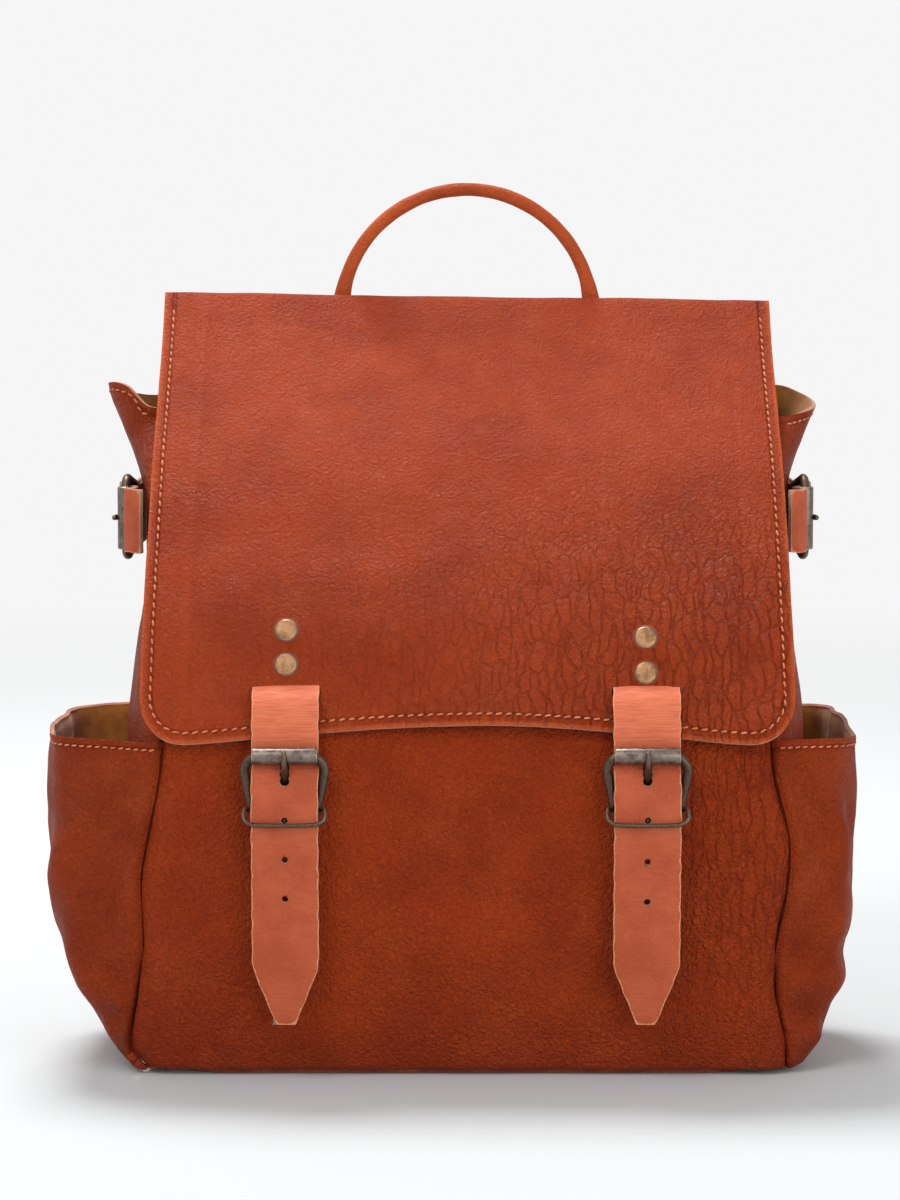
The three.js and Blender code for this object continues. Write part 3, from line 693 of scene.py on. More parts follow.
FRONT_ROWS = [0.8, 3, 7, 12, 18, 25, 32, 39, 46, *range(54, 159, 8), *range(165, 290, 10), 294, 298]
rows = [[front_point(s, z) for s in front_shares()] for z in FRONT_ROWS]
for row in rows:  # the seam allowance, turned in
    for end, side in ((0, -1), (-1, 1)):
        turn = row[end] + Vector((-side * 1.6, 5.0, 0))
        row.insert(0 if side < 0 else len(row), turn)
rows.insert(0, [p + Vector((0, 4.0, 0.5)) for p in rows[0]])
front_hide = cage("front_hide", rows)
weigh(front_hide, "worn", lambda p: max(hump(p.x, 125, 32) * hump(p.z, 90, 60), 0.7 * hump(p.z, 22, 20)))
thicken(front_hide, 2.2, [body_leather, flesh_side, dark_edge],
        soft=((SAG, 1.6), (RIPPLE, 0.7), (CREASE, 1.1, "worn", 0.25)))
on_the_ground(front_hide)
belongs(front_hide, "bag", "body_leather", "front_panel")
print("front_hide cage:", len(front_hide.data.vertices), "points")

# %% [markdown]
# ## Gussets
# The two side panels close the bag between front and back. Above the pockets they show their grain, and
# their tops are wider than the mouth, so they spread past the flap as open wings with a stitched rim.
# They are cages read from a side view as well, with a bow that grows towards the wing.

# %% Gussets
GUSSET_BOW = [(0, 0.5), (60, 5), (120, 11), (155, 13), (190, 9), (222, 4.5), (245, 3), (265, 5), (285, 13),
              (306, 22), (324, 24)]
BACK_HALF, BACK_Y = 145.5, 62.0


WING_TOP = {
    -1: [(0, 300), (0.06, 301.5), (0.13, 310), (0.3, 312), (0.5, 310.5), (0.8, 306), (1, 304)],
    1: [(0, 296), (0.12, 297), (0.5, 300), (0.8, 305), (1, 309)],
}


def gusset_point(side, u, v):
    top = read(WING_TOP[side], u)
    z = 0.8 + (top - 0.8) * v
    low = min(z, 298)
    front = front_half(side, low) + 1.2
    bow = read(GUSSET_BOW, z) * math.sin(math.pi * u) ** 0.75
    rolled = 3.2 * (1 - min(1.0, u / 0.05)) if u < 0.05 else 0.0
    x = front + (BACK_HALF - front) * u + 2.4 + bow - rolled
    fade = max(0.0, 1 - u / 0.25)
    y = front_face(low) + 3.2 * fade + (BACK_Y + 1.5 - front_face(low)) * u
    x -= 1.6 * hump(z, 205 + 26 * u, 9) * hump(u, 0.45, 0.3)
    tuck = max(0.0, 1 - z / 60) * (1 - u) ** 0.5
    x, y = x - 13 * tuck, y + 12 * tuck
    return Vector((side * x, y, z))


def turned_in(row, side):
    """The seam allowances of one row of the gusset, bent into the bag where nobody sees their edge."""
    front, back = (row[0], row[-1]) if side > 0 else (row[-1], row[0])
    ends = [front + Vector((-side * 1.2, 5, 0)), back + Vector((-side * 6, -1, 0))]
    return [ends[0], *row, ends[1]] if side > 0 else [ends[1], *row, ends[0]]


def gusset(side, word):
    us = [0.0, 0.02, 0.045, 0.09, 0.15, 0.22, 0.3, 0.38, 0.46, 0.54, 0.62, 0.7, 0.78, 0.86, 0.93, 0.97, 1.0]
    us = us[::side]  # faces look outwards on both sides
    vs = [0.0, 0.012, 0.04, *spread(0.08, 0.95, 26), 0.98, 0.993, 1.0]
    rows = [turned_in([gusset_point(side, u, v) for u in us], side) for v in vs]
    made = cage(f"gusset_hide_{word}", rows)
    weigh(made, "upper", lambda p: min(1.0, max(0.0, (p.z - 175) / 30)))
    thicken(made, 1.9, [pocket_leather, flesh_side, raw_edge],
            soft=((SAG, 1.8), (RIPPLE, 0.8, "upper")))
    pinch_shut(made, 40)
    return belongs(made, "bag", "body_leather", f"gusset_{word}")


gussets = {-1: gusset(-1, "left"), 1: gusset(1, "right")}
print("gussets:", [len(g.data.vertices) for g in gussets.values()])

# %% [markdown]
# ## Pockets
# Each pocket is one hide sewn into the front seam and the back seam over the gusset. It is cut wider
# than the gusset, so it stands open like a sack, and it tapers to nothing at the base. The folds run
# from the rim's front corner down to the outer edge, and short puckers sit against the seam. They are
# added as soft ridges and hollows between two points of the pattern, because each is seen in its place.

# %% Pockets
POCKET_OUT = {
    -1: [(0, 148), (3.4, 156), (10, 161), (28, 172), (47, 182.5), (65, 186), (91, 189.5), (108, 191),
         (152, 190.5)],
    1: [(0, 150), (3, 156), (12, 162), (26, 167.6), (42, 172.4), (57, 175.6), (68, 176.4), (150, 177)],
}
# Ridges (+) and hollows (-): from (u, z) to (u, z), half width in mm, height in mm
POCKET_FOLDS = {
    -1: [(0.14, 132, 0.34, 66, 7, 3.0), (0.06, 110, 0.16, 58, 6, -2.4), (0.02, 44, 0.2, 58, 4, -1.8),
         (0.02, 34, 0.22, 40, 4, 1.8), (0.02, 25, 0.2, 26, 4, -1.7), (0.02, 104, 0.1, 100, 3, 1.2),
         (0.36, 150, 0.42, 90, 9, -2.2), (0.5, 140, 0.55, 60, 12, 3.0), (0.7, 150, 0.62, 70, 9, -3.0)],
    1: [(0.13, 146, 0.2, 96, 6, 2.6), (0.07, 140, 0.1, 108, 5, -2.0), (0.2, 130, 0.33, 84, 7, -2.0),
        (0.02, 56, 0.36, 57, 6, -2.6), (0.02, 44, 0.34, 42, 7, 2.6), (0.02, 29, 0.22, 24, 5, -3.2),
        (0.08, 18, 0.24, 14, 5, 2.0), (0.3, 146, 0.33, 70, 8, 1.8), (0.55, 140, 0.5, 60, 12, 3.0),
        (0.72, 150, 0.62, 70, 9, -3.0)],
}


def pocket_plan(side, z):
    """The pocket cut across at one height, from the front seam round to the back seam."""
    half, out, y = front_half(side, z), read(POCKET_OUT[side], z), front_face(z)
    full = min(1.0, 0.8 + z / 260)
    deep, back = -8.5 - 62.5 * full, -8.5 + 61 * full
    out = max(out, half + 6.0)
    wide = out - half
    seam = BACK_HALF + 3.4
    return [(half - 0.6, y + 7.5), (half + 1.4, y + 3.2), (half + 1.4 + wide * 0.12, y + 3.6),
            (half + wide * 0.42, (y + 3.6) * 0.45 + deep * 0.55), (half + wide * 0.8, deep + 1.5),
            (out - wide * 0.06, deep + 10 * full), (out, deep + 26 * full), (out + 0.4, -6),
            (out - 0.6, back - 24 * full), (max(seam, out - wide * 0.16), back - 8),
            (max(seam, out - wide * 0.5), back - 1), (seam, back + 3)]


def pocket_rise(z):
    """The rim is pulled up a few millimetres where the full pocket stands open."""
    return 3.8 * max(0.0, (z - 100) / 52)


def fold_lift(folds, u, z, girth):
    lift = 0.0
    for u0, z0, u1, z1, wide, high in folds:
        a, b, p = Vector((u0 * girth, z0)), Vector((u1 * girth, z1)), Vector((u * girth, z))
        along = (p - a).dot(b - a) / (b - a).length_squared
        near = a.lerp(b, min(1.0, max(0.0, along)))
        reach = math.sin(math.pi * min(1.0, max(0.0, along * 0.8 + 0.1))) ** 0.6
        lift += 1.45 * high * reach * hump((p - near).length, 0, wide)
    return lift


def pocket(side, word):
    heights = [1.2, 3, 6, 10, 15, *range(20, 142, 5), 144, 147.5, 150, 151.2, 151.8]
    rows = []
    for z in heights:
        plan = line_through([(x, y, 0) for x, y in pocket_plan(side, z)], 0.9)
        count, row = 40, []
        girth = sum((b - a).length for a, b in zip(plan, plan[1:]))
        for i in range(count + 1):
            u = i / count
            k = u * (len(plan) - 1)
            j = min(int(k), len(plan) - 2)
            p = plan[j].lerp(plan[j + 1], k - j)
            run = (plan[j + 1] - plan[j]).normalized()
            out = Vector((-run.y, run.x, 0)) * -1
            lift = fold_lift(POCKET_FOLDS[side], u, z, girth) * min(1.0, 14 * u, 14 * (1 - u))
            lip = 1.1 * hump(z, 150.6, 1.6)
            p = p + out * (lift * min(1.0, z / 16) + lip)
            sway = 0.8 * math.sin(u * 9.0 + side) * max(0.0, (z - 110) / 42) + pocket_rise(z)
            row.append(Vector((side * p.x, p.y, z + sway)))
        rows.append(row if side > 0 else row[::-1])
    made = cage(f"pocket_hide_{word}", rows)
    rim = made.data.attributes["rim"].data
    for v, r in zip(made.data.vertices, rim):
        r.value = max(0.0, min(60.0, 155.6 - v.co.z / MM))
    thicken(made, 1.9, [pocket_leather, flesh_side, raw_edge], soft=((SAG, 2.0), (RIPPLE, 0.8)))
    pinch_shut(made, 40)
    return belongs(made, "bag", "body_leather", f"pocket_{word}")


pockets = {-1: pocket(-1, "left"), 1: pocket(1, "right")}
print("pockets:", [len(p.data.vertices) for p in pockets.values()])

# %% [markdown]
# ## Base and back
# The base is a stiff oval board covered in hide. The back panel is a flat hide that the straps and the
# flap are sewn to. Both are outlines filled with a grid, so that they take the same stack as the rest.


# %% Base and back
def rounded_grid(name, low, high, corner, across, up, place):
    """A sheet with round corners. place(a, b) puts the flat point into the bag."""
    width, height = high[0] - low[0], high[1] - low[1]
    rows = []
    for v in spread(0, 1, up):
        b = low[1] + height * v
        dip = max(0.0, corner - min(b - low[1], high[1] - b))
        inset = corner - math.sqrt(max(0.0, corner ** 2 - dip ** 2))
        rows.append([place(low[0] + inset + (width - 2 * inset) * u, b) for u in spread(0, 1, across)])
    return cage(name, rows)


def level(name):
    low, high = (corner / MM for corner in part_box(name))
    return low, high


low, high = level("base_panel")
base_hide = rounded_grid("base_hide", (low.x, low.y), (high.x, high.y), 24, 24, 14,
                         lambda a, b: Vector((a, b, high.z)))
thicken(base_hide, 2.8, [flesh_side, body_leather, dark_edge], levels=2, bevel=0.8, soft=())
belongs(base_hide, "bag", "body_leather", "base_panel")

low, high = level("back_panel")
back_hide = rounded_grid("back_hide", (-high.x, low.z), (high.x, high.z), 12, 28, 30,
                         lambda a, b: Vector((-a, high.y - 0.8 * hump(abs(a), high.x, 8), b)))
thicken(back_hide, 2.2, [back_leather, flesh_side, dark_edge], soft=((SAG, 0.5), (RIPPLE, 0.3)))
belongs(back_hide, "bag", "body_leather", "back_panel")
print("base and back laid")

# %% [markdown]
# ## Flap
# The flap is one long hide: its rear end is sewn to the back panel as the yoke, it bends over the top
# edge of the bag and hangs down the front in a slope. The free edge is arched a little and has round
# corners. The cage runs along the hide from the yoke's foot to the free edge, so the bend, the slope and
# the edge are one sheet. Its columns crowd towards the sides at the spacing of a quarter circle, which
# turns the corners round without cutting a face.

# %% Flap pattern
FLAP_LINE = [(67.0, 296), (67.0, 315), (67.0, 334), (66.9, 343.5), (66.1, 348.4), (63.4, 351.3),
             (59.4, 350.2), (52, 342.6), (40, 330.4), (12, 304.6), (-15, 280.2), (-43, 243), (-63, 211),
             (-75, 183.4), (-86, 157), (-89, 149)]
FLAP_OUTLINE = line_through([(0, y, z) for y, z in FLAP_LINE], 1.0)
FOLD_AT = 56.0  # mm of hide from the yoke's foot to the top of the fold
CORNER = 20.0


def flap_centre(z):
    return read([(150, 0.6), (350, 1.0)], z)


def flap_half(z, depth):
    half = read([(150, 147.6), (200, 147.0), (350, 144.9)], z)
    return half - (1.0 if depth > 0 else 0.0)


def flap_low(x, half, inset=0.0):
    """Height of the free edge, or of a line that far inside it, at a distance x from the middle."""
    x, corner = abs(x), CORNER - inset
    straight = half - CORNER
    base = 155.0 + inset
    if x > straight:
        return base + corner - math.sqrt(max(0.0, corner ** 2 - (x - straight) ** 2))
    return base + 8.6 * (1 - (x / straight) ** 2) ** 1.3


def flap_along(distance):
    """Point and outward direction of the hide's outer face, that far along it from the yoke's foot."""
    k = min(max(distance, 0.0), len(FLAP_OUTLINE) - 2.001)
    i = int(k)
    a, b = FLAP_OUTLINE[i], FLAP_OUTLINE[i + 1]
    run = (b - a).normalized()
    return a.lerp(b, k - i), Vector((0, -run.z, run.y)) * -1


def distance_at(z):
    """How far along the hide the front slope reaches height z."""
    for i in range(int(FOLD_AT) + 6, len(FLAP_OUTLINE) - 1):
        if FLAP_OUTLINE[i + 1].z <= z:
            return i + (FLAP_OUTLINE[i].z - z) / (FLAP_OUTLINE[i].z - FLAP_OUTLINE[i + 1].z)
    return len(FLAP_OUTLINE) - 1.01


def flap_point(x, distance, depth=0.0):
    p, out = flap_along(distance)
    half = flap_half(p.z, depth)
    after = max(0.0, distance - FOLD_AT)
    lift = -1.8 * max(0.0, 1 - (half - abs(x)) / 11) ** 2 * min(1.0, after / 30)
    low = flap_low(x, half)
    near = hump(max(0.0, p.z - low), 0, 26) if after > 60 else 0.0
    lift += near * (0.9 * math.sin(x / 21.0 + 0.6) + 0.7 * math.sin(x / 47.0))
    lift += 1.3 * near * hump(abs(x), half, 30)
    lift += 1.1 * hump(distance, 150 + 0.08 * x, 26) * hump(x, 30, 70)
    lift -= 1.0 * hump(distance, 196 - 0.15 * x, 16) * hump(x, -60, 60)
    tilt = -0.0136 * x * hump(max(0.0, after - 6), 0, 90) * min(1.0, distance / FOLD_AT) ** 2
    side = flap_centre(p.z) if after else 1.0 * distance / FOLD_AT
    return Vector((x + side, p.y, p.z + tilt)) + out * (lift - depth)


def side_steps(half, middle_steps):
    corner = [CORNER * (1 - math.cos(math.radians(a))) for a in (0, 15, 30, 45, 60, 75, 90)]
    left = [-half + c for c in corner]
    return left + spread(-half + CORNER, half - CORNER, middle_steps)[1:-1] + [-x for x in left[::-1]]


def flap_rows(start, depth):
    """Rows of the cage from a distance along the hide to the free edge."""
    fixed = [0, 1.5, 6, 16, 28, 38, 44, 47.5, 50, 52, 54, 56, 58, 60.5, 64, 69, 76]
    fixed = [d for d in fixed if d >= start]
    yoke_half, foot = 144.0, 149.0
    shares = spread(0.035, 0.93, 24) + [0.96, 0.982, 0.995, 1.0]
    rows = []
    for d in fixed:
        z = FLAP_OUTLINE[int(d)].z
        half = flap_half(z, depth) if d > FOLD_AT else yoke_half + (144.9 - yoke_half) * d / FOLD_AT
        rows.append([flap_point(x, d, depth) for x in side_steps(half, 22)])
    front, half_low = max(start, 76.0), flap_half(foot, depth)
    for share in shares:
        row = []
        for step in side_steps(147.0, 22):
            x = step / 147.0 * half_low
            low = flap_low(x, half_low) + (1.0 if depth > 0 else 0.0)
            d = front + (distance_at(low) - front) * share
            half = flap_half(flap_along(d)[0].z, depth)
            row.append(flap_point(x * half / half_low, d, depth))
        rows.append(row)
    return rows


rows = flap_rows(0, 0.0)
flap_hide = cage("flap_hide", [row[::-1] for row in rows])
weigh(flap_hide, "worn", lambda p: 0.0 if p.y > 40 else
      max(0.0, min(1.0, (250 - p.z) / 60)) * (0.25 + 0.75 * max(0.0, min(1.0, (p.x + 10) / 110))))
print("flap cage:", len(rows), "rows of", len(rows[0]))

# %% [markdown]
# The buckled straps come out through a slit on each side. The slits are cut while the hide is still a thin
# sheet, so that Solidify gives them the same cut edge as the outline. The lining is a second, thinner
# hide a hair's breadth inside the first and a millimetre short of its edge.

# %% Slits, flap and lining
def strap_centre(side):
    word = "left" if side < 0 else "right"
    low, high = level(f"closure_strap_{word}")
    return (low.x + high.x) / 2


SLITS = [((strap_centre(side) - 15.5, -95, 175.6), (strap_centre(side) + 15.5, -60, 180.0))
         for side in (-1, 1)]
thicken(flap_hide, 1.8, [flap_leather, flesh_side, raw_edge], bevel=0.35, windows=SLITS,
        soft=((SAG, 1.0), (RIPPLE, 0.45), (CREASE, 0.9, "worn", 0.25)))
apply_stack(flap_hide)

rows = flap_rows(58, 2.2)
flap_lining_hide = cage("flap_lining_hide", [row[::-1] for row in rows])
thicken(flap_lining_hide, 1.2, [flesh_side, flesh_side, raw_edge], bevel=0.0, windows=SLITS,
        soft=((SAG, 1.0),))
belongs(flap_lining_hide, "flap", "raw_leather", "flap_lining")
print("flap_hide:", len(flap_hide.data.polygons), "faces")

# %% [markdown]
# ## Stitches
# A saddle stitch is a short fat piece of thread that stands up in the middle and dives into a hole at
# each end, leaning a little across the seam. One capsule of a few dozen faces is enough for it, because
# there are hundreds. Each seam is a line over the hide; every stitch is dropped onto the finished
# surface with a ray, and takes the tilt that it finds there.


# %% Stitches
CAPSULE = [(-1.0, 0.3, -1.1), (-0.82, 0.85, -0.25), (-0.35, 1.0, 0.2), (0.35, 1.0, 0.2), (0.82, 0.85, -0.25),
           (1.0, 0.3, -1.1)]
dice = random.Random(11)


def stitches(name, hide_piece, lines, outward, pitch=4.4, length=3.1, thick=0.46, lean=11.0, reach=9.0):
    """A run of stitches along lines in mm. outward is the side that they are seen from."""
    ready = bpy.context.evaluated_depsgraph_get()
    tree = BVHTree.FromObject(hide_piece, ready)
    bm = bmesh.new()
    sides = 6
    for line in lines:
        points = even([Vector(p) for p in line], pitch)
        for a, b in zip(points, points[1:]):
            out = (outward((a + b) / 2) if callable(outward) else Vector(outward)).normalized()
            start = ((a + b) / 2 + out * reach) * MM
            hit, normal, *_ = tree.ray_cast(start, -out, 2.5 * reach * MM)
            if hit is None:
                continue
            normal = normal if normal.dot(out) > 0 else -normal
            along = (b - a).normalized()
            along = (along - normal * along.dot(normal)).normalized()
            turn = Matrix.Rotation(math.radians(lean + dice.uniform(-5, 5)), 3, normal)
            along = turn @ along
            across = normal.cross(along)
            half, fat = length / 2 * dice.uniform(0.94, 1.05), thick * dice.uniform(0.93, 1.07)
            rings = []
            for t, r, h in CAPSULE:
                centre = hit / MM + along * (half * t) + normal * (h * fat)
                ring = []
                for k in range(sides):
                    angle = 2 * math.pi * k / sides
                    ring.append(bm.verts.new((centre + across * (math.cos(angle) * r * fat)
                                              + normal * (math.sin(angle) * r * fat)) * MM))
                rings.append(ring)
            for low_ring, high_ring in zip(rings, rings[1:]):
                for k in range(sides):
                    m = (k + 1) % sides
                    bm.faces.new((low_ring[k], low_ring[m], high_ring[m], high_ring[k]))
            bm.faces.new(rings[0][::-1])
            bm.faces.new(rings[-1])
    bmesh.ops.recalc_face_normals(bm, faces=bm.faces[:])
    mesh = bpy.data.meshes.new(name)
    bm.to_mesh(mesh)
    bm.free()
    mesh.materials.append(thread)
    return smooth(new_object(name, mesh))


def flap_seam(inset, depth=0.0):
    """The seam line inside the flap's edge, from the fold down one side, round and up the other."""
    left = []
    for z in spread(344, 177, 80):
        left.append((-(flap_half(z, depth) - inset), distance_at(z)))
    half = flap_half(155, depth)
    for a in spread(0, 90, 12):
        x = -(half - CORNER) - (CORNER - inset) * math.cos(math.radians(a))
        left.append((x, distance_at(flap_low(x, half, inset))))
    for x in spread(-(half - CORNER), 0, 40)[1:]:
        left.append((x, distance_at(flap_low(x, half, inset))))
    whole = left + [(-x, d) for x, d in left[-2::-1]]
    return [flap_point(x, d, depth) for x, d in whole]


def flap_out(p):
    return flap_along(distance_at(p.z))[1]


flap_seam_front = stitches("flap_seam_front", flap_hide, [flap_seam(4.8)], flap_out, reach=5.0)
belongs(flap_seam_front, "flap", None)
flap_seam_back = stitches("flap_seam_back", flap_lining_hide, [flap_seam(4.8, 3.4)], lambda p: -flap_out(p),
                          reach=4.0)
belongs(flap_seam_back, "flap", None)
print("flap stitches:", len(flap_seam_front.data.polygons) // 32)

# %% Seams of the pockets, wings and yoke
for side, word in ((-1, "left"), (1, "right")):
    plan = line_through([(x, y, 0) for x, y in pocket_plan(side, 148)], 1.5)
    girth = len(plan)
    rim_line = [Vector((side * p.x, p.y, 152.0 + 0.75 * math.sin(i / girth * 9.0 + side)))
                for i, p in enumerate(plan)][4:-4]
    middle = Vector((side * 152, -8, 152))

    def from_middle(p, middle=middle):
        flat = p - middle
        flat.z = 0
        return Vector((flat.x * 1.6, flat.y, 0))

    seam = stitches(f"pocket_seam_{word}", pockets[side], [rim_line], from_middle, pitch=3.7, length=2.6,
                    thick=0.4, reach=6.0)
    belongs(seam, "bag", None)
    wing = [gusset_point(side, u, 1.0) - Vector((0, 0, 3.6)) for u in spread(0.03, 0.97, 90)]
    seam = stitches(f"wing_seam_{word}", gussets[side], [wing], (side, -0.35, 0), pitch=4.4, reach=8.0)
    belongs(seam, "bag", None)

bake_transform(flap_hide)
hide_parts("flap_outer", "flap_yoke")
yoke_line = [(x, 70, 300.5) for x in spread(-139, 139, 60)]
yoke_sides = [[(s * 139.6, 70, z) for z in spread(300.5, 340, 12)] for s in (-1, 1)]
yoke_seam = stitches("yoke_seam", flap_hide, [yoke_line, *yoke_sides], (0, 1, 0), reach=5.0)
belongs(yoke_seam, "bag", None)
print("seams sewn")

# %% [markdown]
# ## Metal
# A roller buckle is four pieces: a cast frame, a rolled sleeve on its upper bar, a wire prong that turns on
# the hinge bar, and below it a wire keeper. Frame, prong and keeper are bent rods, so each is a curve
# with a bevel, thinned by its point radius where it was filed. The sleeve, rivets and studs are turned,
# so they are profiles for a Screw. Everything is drawn once in the buckle's own frame, with the hinge
# bar along X and the strap along Z, and then set in its place on each strap by a matrix.


# %% Rods and turned pieces
def rod(name, points, radius, look, closed=False, thin=None, sides=3):
    """A bent rod through points in mm. thin gives the share of the radius at each place from 0 to 1."""
    curve = bpy.data.curves.new(name, "CURVE")
    curve.dimensions, curve.bevel_depth, curve.bevel_resolution = "3D", radius * MM, sides
    curve.use_fill_caps = True
    spline = curve.splines.new("POLY")
    spline.points.add(len(points) - 1)
    for i, (point, place) in enumerate(zip(spline.points, points)):
        point.co = (*(Vector(place) * MM), 1)
        point.radius = thin(i / (len(points) - 1)) if thin else 1.0
    spline.use_cyclic_u = closed
    helper = new_object(name + "_line", curve)
    bpy.context.view_layer.update()
    ready = helper.evaluated_get(bpy.context.evaluated_depsgraph_get())
    mesh = bpy.data.meshes.new_from_object(ready)
    bpy.data.objects.remove(helper)
    bpy.data.curves.remove(curve)
    bm = bmesh.new()
    bm.from_mesh(mesh)
    bmesh.ops.remove_doubles(bm, verts=bm.verts[:], dist=1e-6)
    bmesh.ops.recalc_face_normals(bm, faces=bm.faces[:])
    bm.to_mesh(mesh)
    bm.free()
    mesh.materials.clear()
    mesh.materials.append(look)
    mesh.name = name
    return smooth(new_object(name, mesh))


def lathe(name, profile, look, steps=40):
    thing = turned(name, profile, steps)
    bm = bmesh.new()
    bm.from_mesh(thing.data)
    bmesh.ops.remove_doubles(bm, verts=bm.verts[:], dist=2e-6)
    bmesh.ops.recalc_face_normals(bm, faces=bm.faces[:])
    bm.to_mesh(thing.data)
    bm.free()
    thing.data.materials.append(look)
    modifier(thing, "BEVEL", width=0.22 * MM, segments=2, limit_method="ANGLE",
             angle_limit=math.radians(40))
    return apply_stack(smooth(thing))


def arc(centre, radius, start, end, count):
    """Points of an arc in the YZ plane, from one angle to the other in degrees."""
    return [Vector((0, centre[0] + radius * math.cos(math.radians(a)),
                    centre[1] + radius * math.sin(math.radians(a)))) for a in spread(start, end, count)]


# %% The roller buckle in its own frame
REACH, CLEAR = 29.0, 2.0


def frame_rod(name, strap_width):
    """A loop with wide upper corners and tighter lower ones, leaning out over the strap."""
    half, top, foot = strap_width / 2 + 3.0, REACH, 0.0
    narrow = half - 3.4
    points = []
    for (x, z), turn, r in (((narrow - 5, foot + 5), -90, 5), ((half - 7, top - 7), 0, 7),
                            ((-half + 7, top - 7), 90, 7), ((-narrow + 5, foot + 5), 180, 5)):
        for a in spread(turn, turn + 90, 8):
            points.append((x + r * math.cos(math.radians(a)), z + r * math.sin(math.radians(a))))
    placed = [Vector((x, -CLEAR * z / REACH, z)) for x, z in points]
    return rod(name, placed, 2.15, bronze, closed=True, sides=4)


def roller_sleeve(name, strap_width):
    half = strap_width / 2 - 0.3
    profile = [(2.75, half - 0.5), (3.2, half), (3.55, half - 0.2), (3.75, half - 0.9), (3.72, 0.0),
               (3.75, -half + 0.9), (3.55, -half + 0.2), (3.2, -half), (2.75, -half + 0.5),
               (2.75, half - 0.5)]
    # The sleeve is painted paler all over, as a highlight for its lit top.
    thing = lathe(name, profile, rubbed_and_lit)
    return settle(thing, Matrix.Translation(Vector((0, -CLEAR, REACH)) * MM)
                  @ Matrix.Rotation(math.pi / 2, 4, "Y"))


def prong_rod(name):
    """The wire is wrapped once round the hinge bar, runs under the strap and out over the roller."""
    loop = arc((0, 0), 3.35, 60, -215, 18)
    shaft = line_through([loop[-1], (0, -2.4, 6.5), (0, -0.9, 12.5), (0, 0.0, 16.5), (0, -3.0, 21),
                          (0, -7.0, 26), (0, -7.5, 29.4), (0, -6.8, 31.6)], 1.2)
    points = loop + shaft[1:]
    thing = rod(name, points, 1.35, bronze, thin=lambda t: 1.0 if t < 0.82 else 1.0 - 2.3 * (t - 0.82))
    return settle(thing, Matrix.Diagonal((1.15, 1, 1, 1)))


def keeper_wire(name, strap_width):
    """A wire bow that starts behind the strap, just above the hinge bar, and holds its tail down."""
    half = strap_width / 2 + 2.3
    side_line = [(-half + 3.2, -2.0, 3.4), (-half + 0.2, -4.0, 5.6), (-half - 0.9, -6.2, 4.4),
                 (-half - 0.5, -8.2, 1.4), (-half + 2.2, -8.8, -0.6), (-half + 5.5, -8.9, -1.1)]
    whole = side_line + [(0, -8.95, -1.3)] + [(-x, y, z) for x, y, z in side_line[::-1]]
    return rod(name, line_through(whole, 1.1), 0.98, bronze)


def stud(name, y, z):
    profile = [(0, 2.4), (1.6, 2.3), (1.7, 1.2), (6.0, 1.1), (6.1, 0.6), (5.8, 0.0), (0, 0)]
    thing = lathe(name, profile, brass, 32)
    return settle(thing, Matrix.Translation(Vector((0, y, z)) * MM) @ Matrix.Rotation(-math.pi / 2, 4, "X"))


def socket(name, y, z):
    profile = [(0, -1.4), (3.4, -1.5), (3.7, -0.1), (6.4, 0.0), (6.9, -0.6), (6.9, -2.1), (0, -2.2)]
    thing = lathe(name, profile, brass, 32)
    return settle(thing, Matrix.Translation(Vector((0, y, z)) * MM) @ Matrix.Rotation(math.pi / 2, 4, "X"))


print("buckle drawn")

# %% [markdown]
# ## Straps
# A strap is cut from thicker, paler hide. Its cage is a row of points across, carried along a side view of
# its path, with the outline's width at each place: straight, then tapered to a blunt tip. The cut edges
# wander a little, as hand-cut edges do. Holes are cut by Boolean with turned pins.

# %% Strap maker
STRAP_COLUMNS = (-1.0, -0.965, -0.9, -0.72, -0.45, -0.15, 0.15, 0.45, 0.72, 0.9, 0.965, 1.0)


def strap(name, path, width, thickness=2.2, step=3.6, holes=(), looks=None, levels=1, seed=1.0,
          crown=0.25, windows=()):
    """path is the outer face as (y, z) from the lower end up. width is a number or takes z."""
    rows, line = [], line_through([(0, y, z) for y, z in path], step)
    for i, p in enumerate(line):
        half = (width(p.z) if callable(width) else width) / 2
        run = (line[min(i + 1, len(line) - 1)] - line[max(i - 1, 0)]).normalized()
        out = Vector((0, -run.z, run.y))
        row = []
        for t in STRAP_COLUMNS:
            ragged = 0.3 * math.sin(p.z * 0.9 + seed + 2 * t) + 0.26 * math.sin(p.z * 2.3 + 5 * seed * t)
            x = t * (half + (ragged if abs(t) == 1.0 else 0.0))
            row.append(Vector((x, p.y, p.z)) + out * (crown * (1 - t * t) - crown))
        rows.append(row)
    made = cage(name, rows)
    thicken(made, thickness, looks or [strap_leather, strap_edge, strap_edge], levels=levels, bevel=0.0,
            soft=((RIPPLE, 0.25),), windows=windows)
    if holes:
        apply_stack(made)
        pins = []
        for k, (x, y, z, r) in enumerate(holes):
            pin = turned(f"pin_{k}", [(0, 9), (r, 9), (r, -9), (0, -9)], 20)
            settle(pin, Matrix.Translation(Vector((x, y, z)) * MM) @ Matrix.Rotation(math.pi / 2, 4, "X"))
            for look in made.data.materials:
                pin.data.materials.append(look)
            pin.data.polygons.foreach_set("material_index", [2] * len(pin.data.polygons))
            pins.append(pin)
        before = len(made.data.polygons)
        for pin in pins:
            modifier(made, "BOOLEAN", object=pin, operation="DIFFERENCE", solver="EXACT")
        apply_stack(made)
        for pin in pins:
            bpy.data.objects.remove(pin)
        print(name, "faces before and after the holes:", before, len(made.data.polygons))
    modifier(made, "BEVEL", width=0.3 * MM, segments=2, limit_method="ANGLE", angle_limit=math.radians(55),
             use_clamp_overlap=True)
    modifier(made, "WEIGHTED_NORMAL")
    return apply_stack(made)


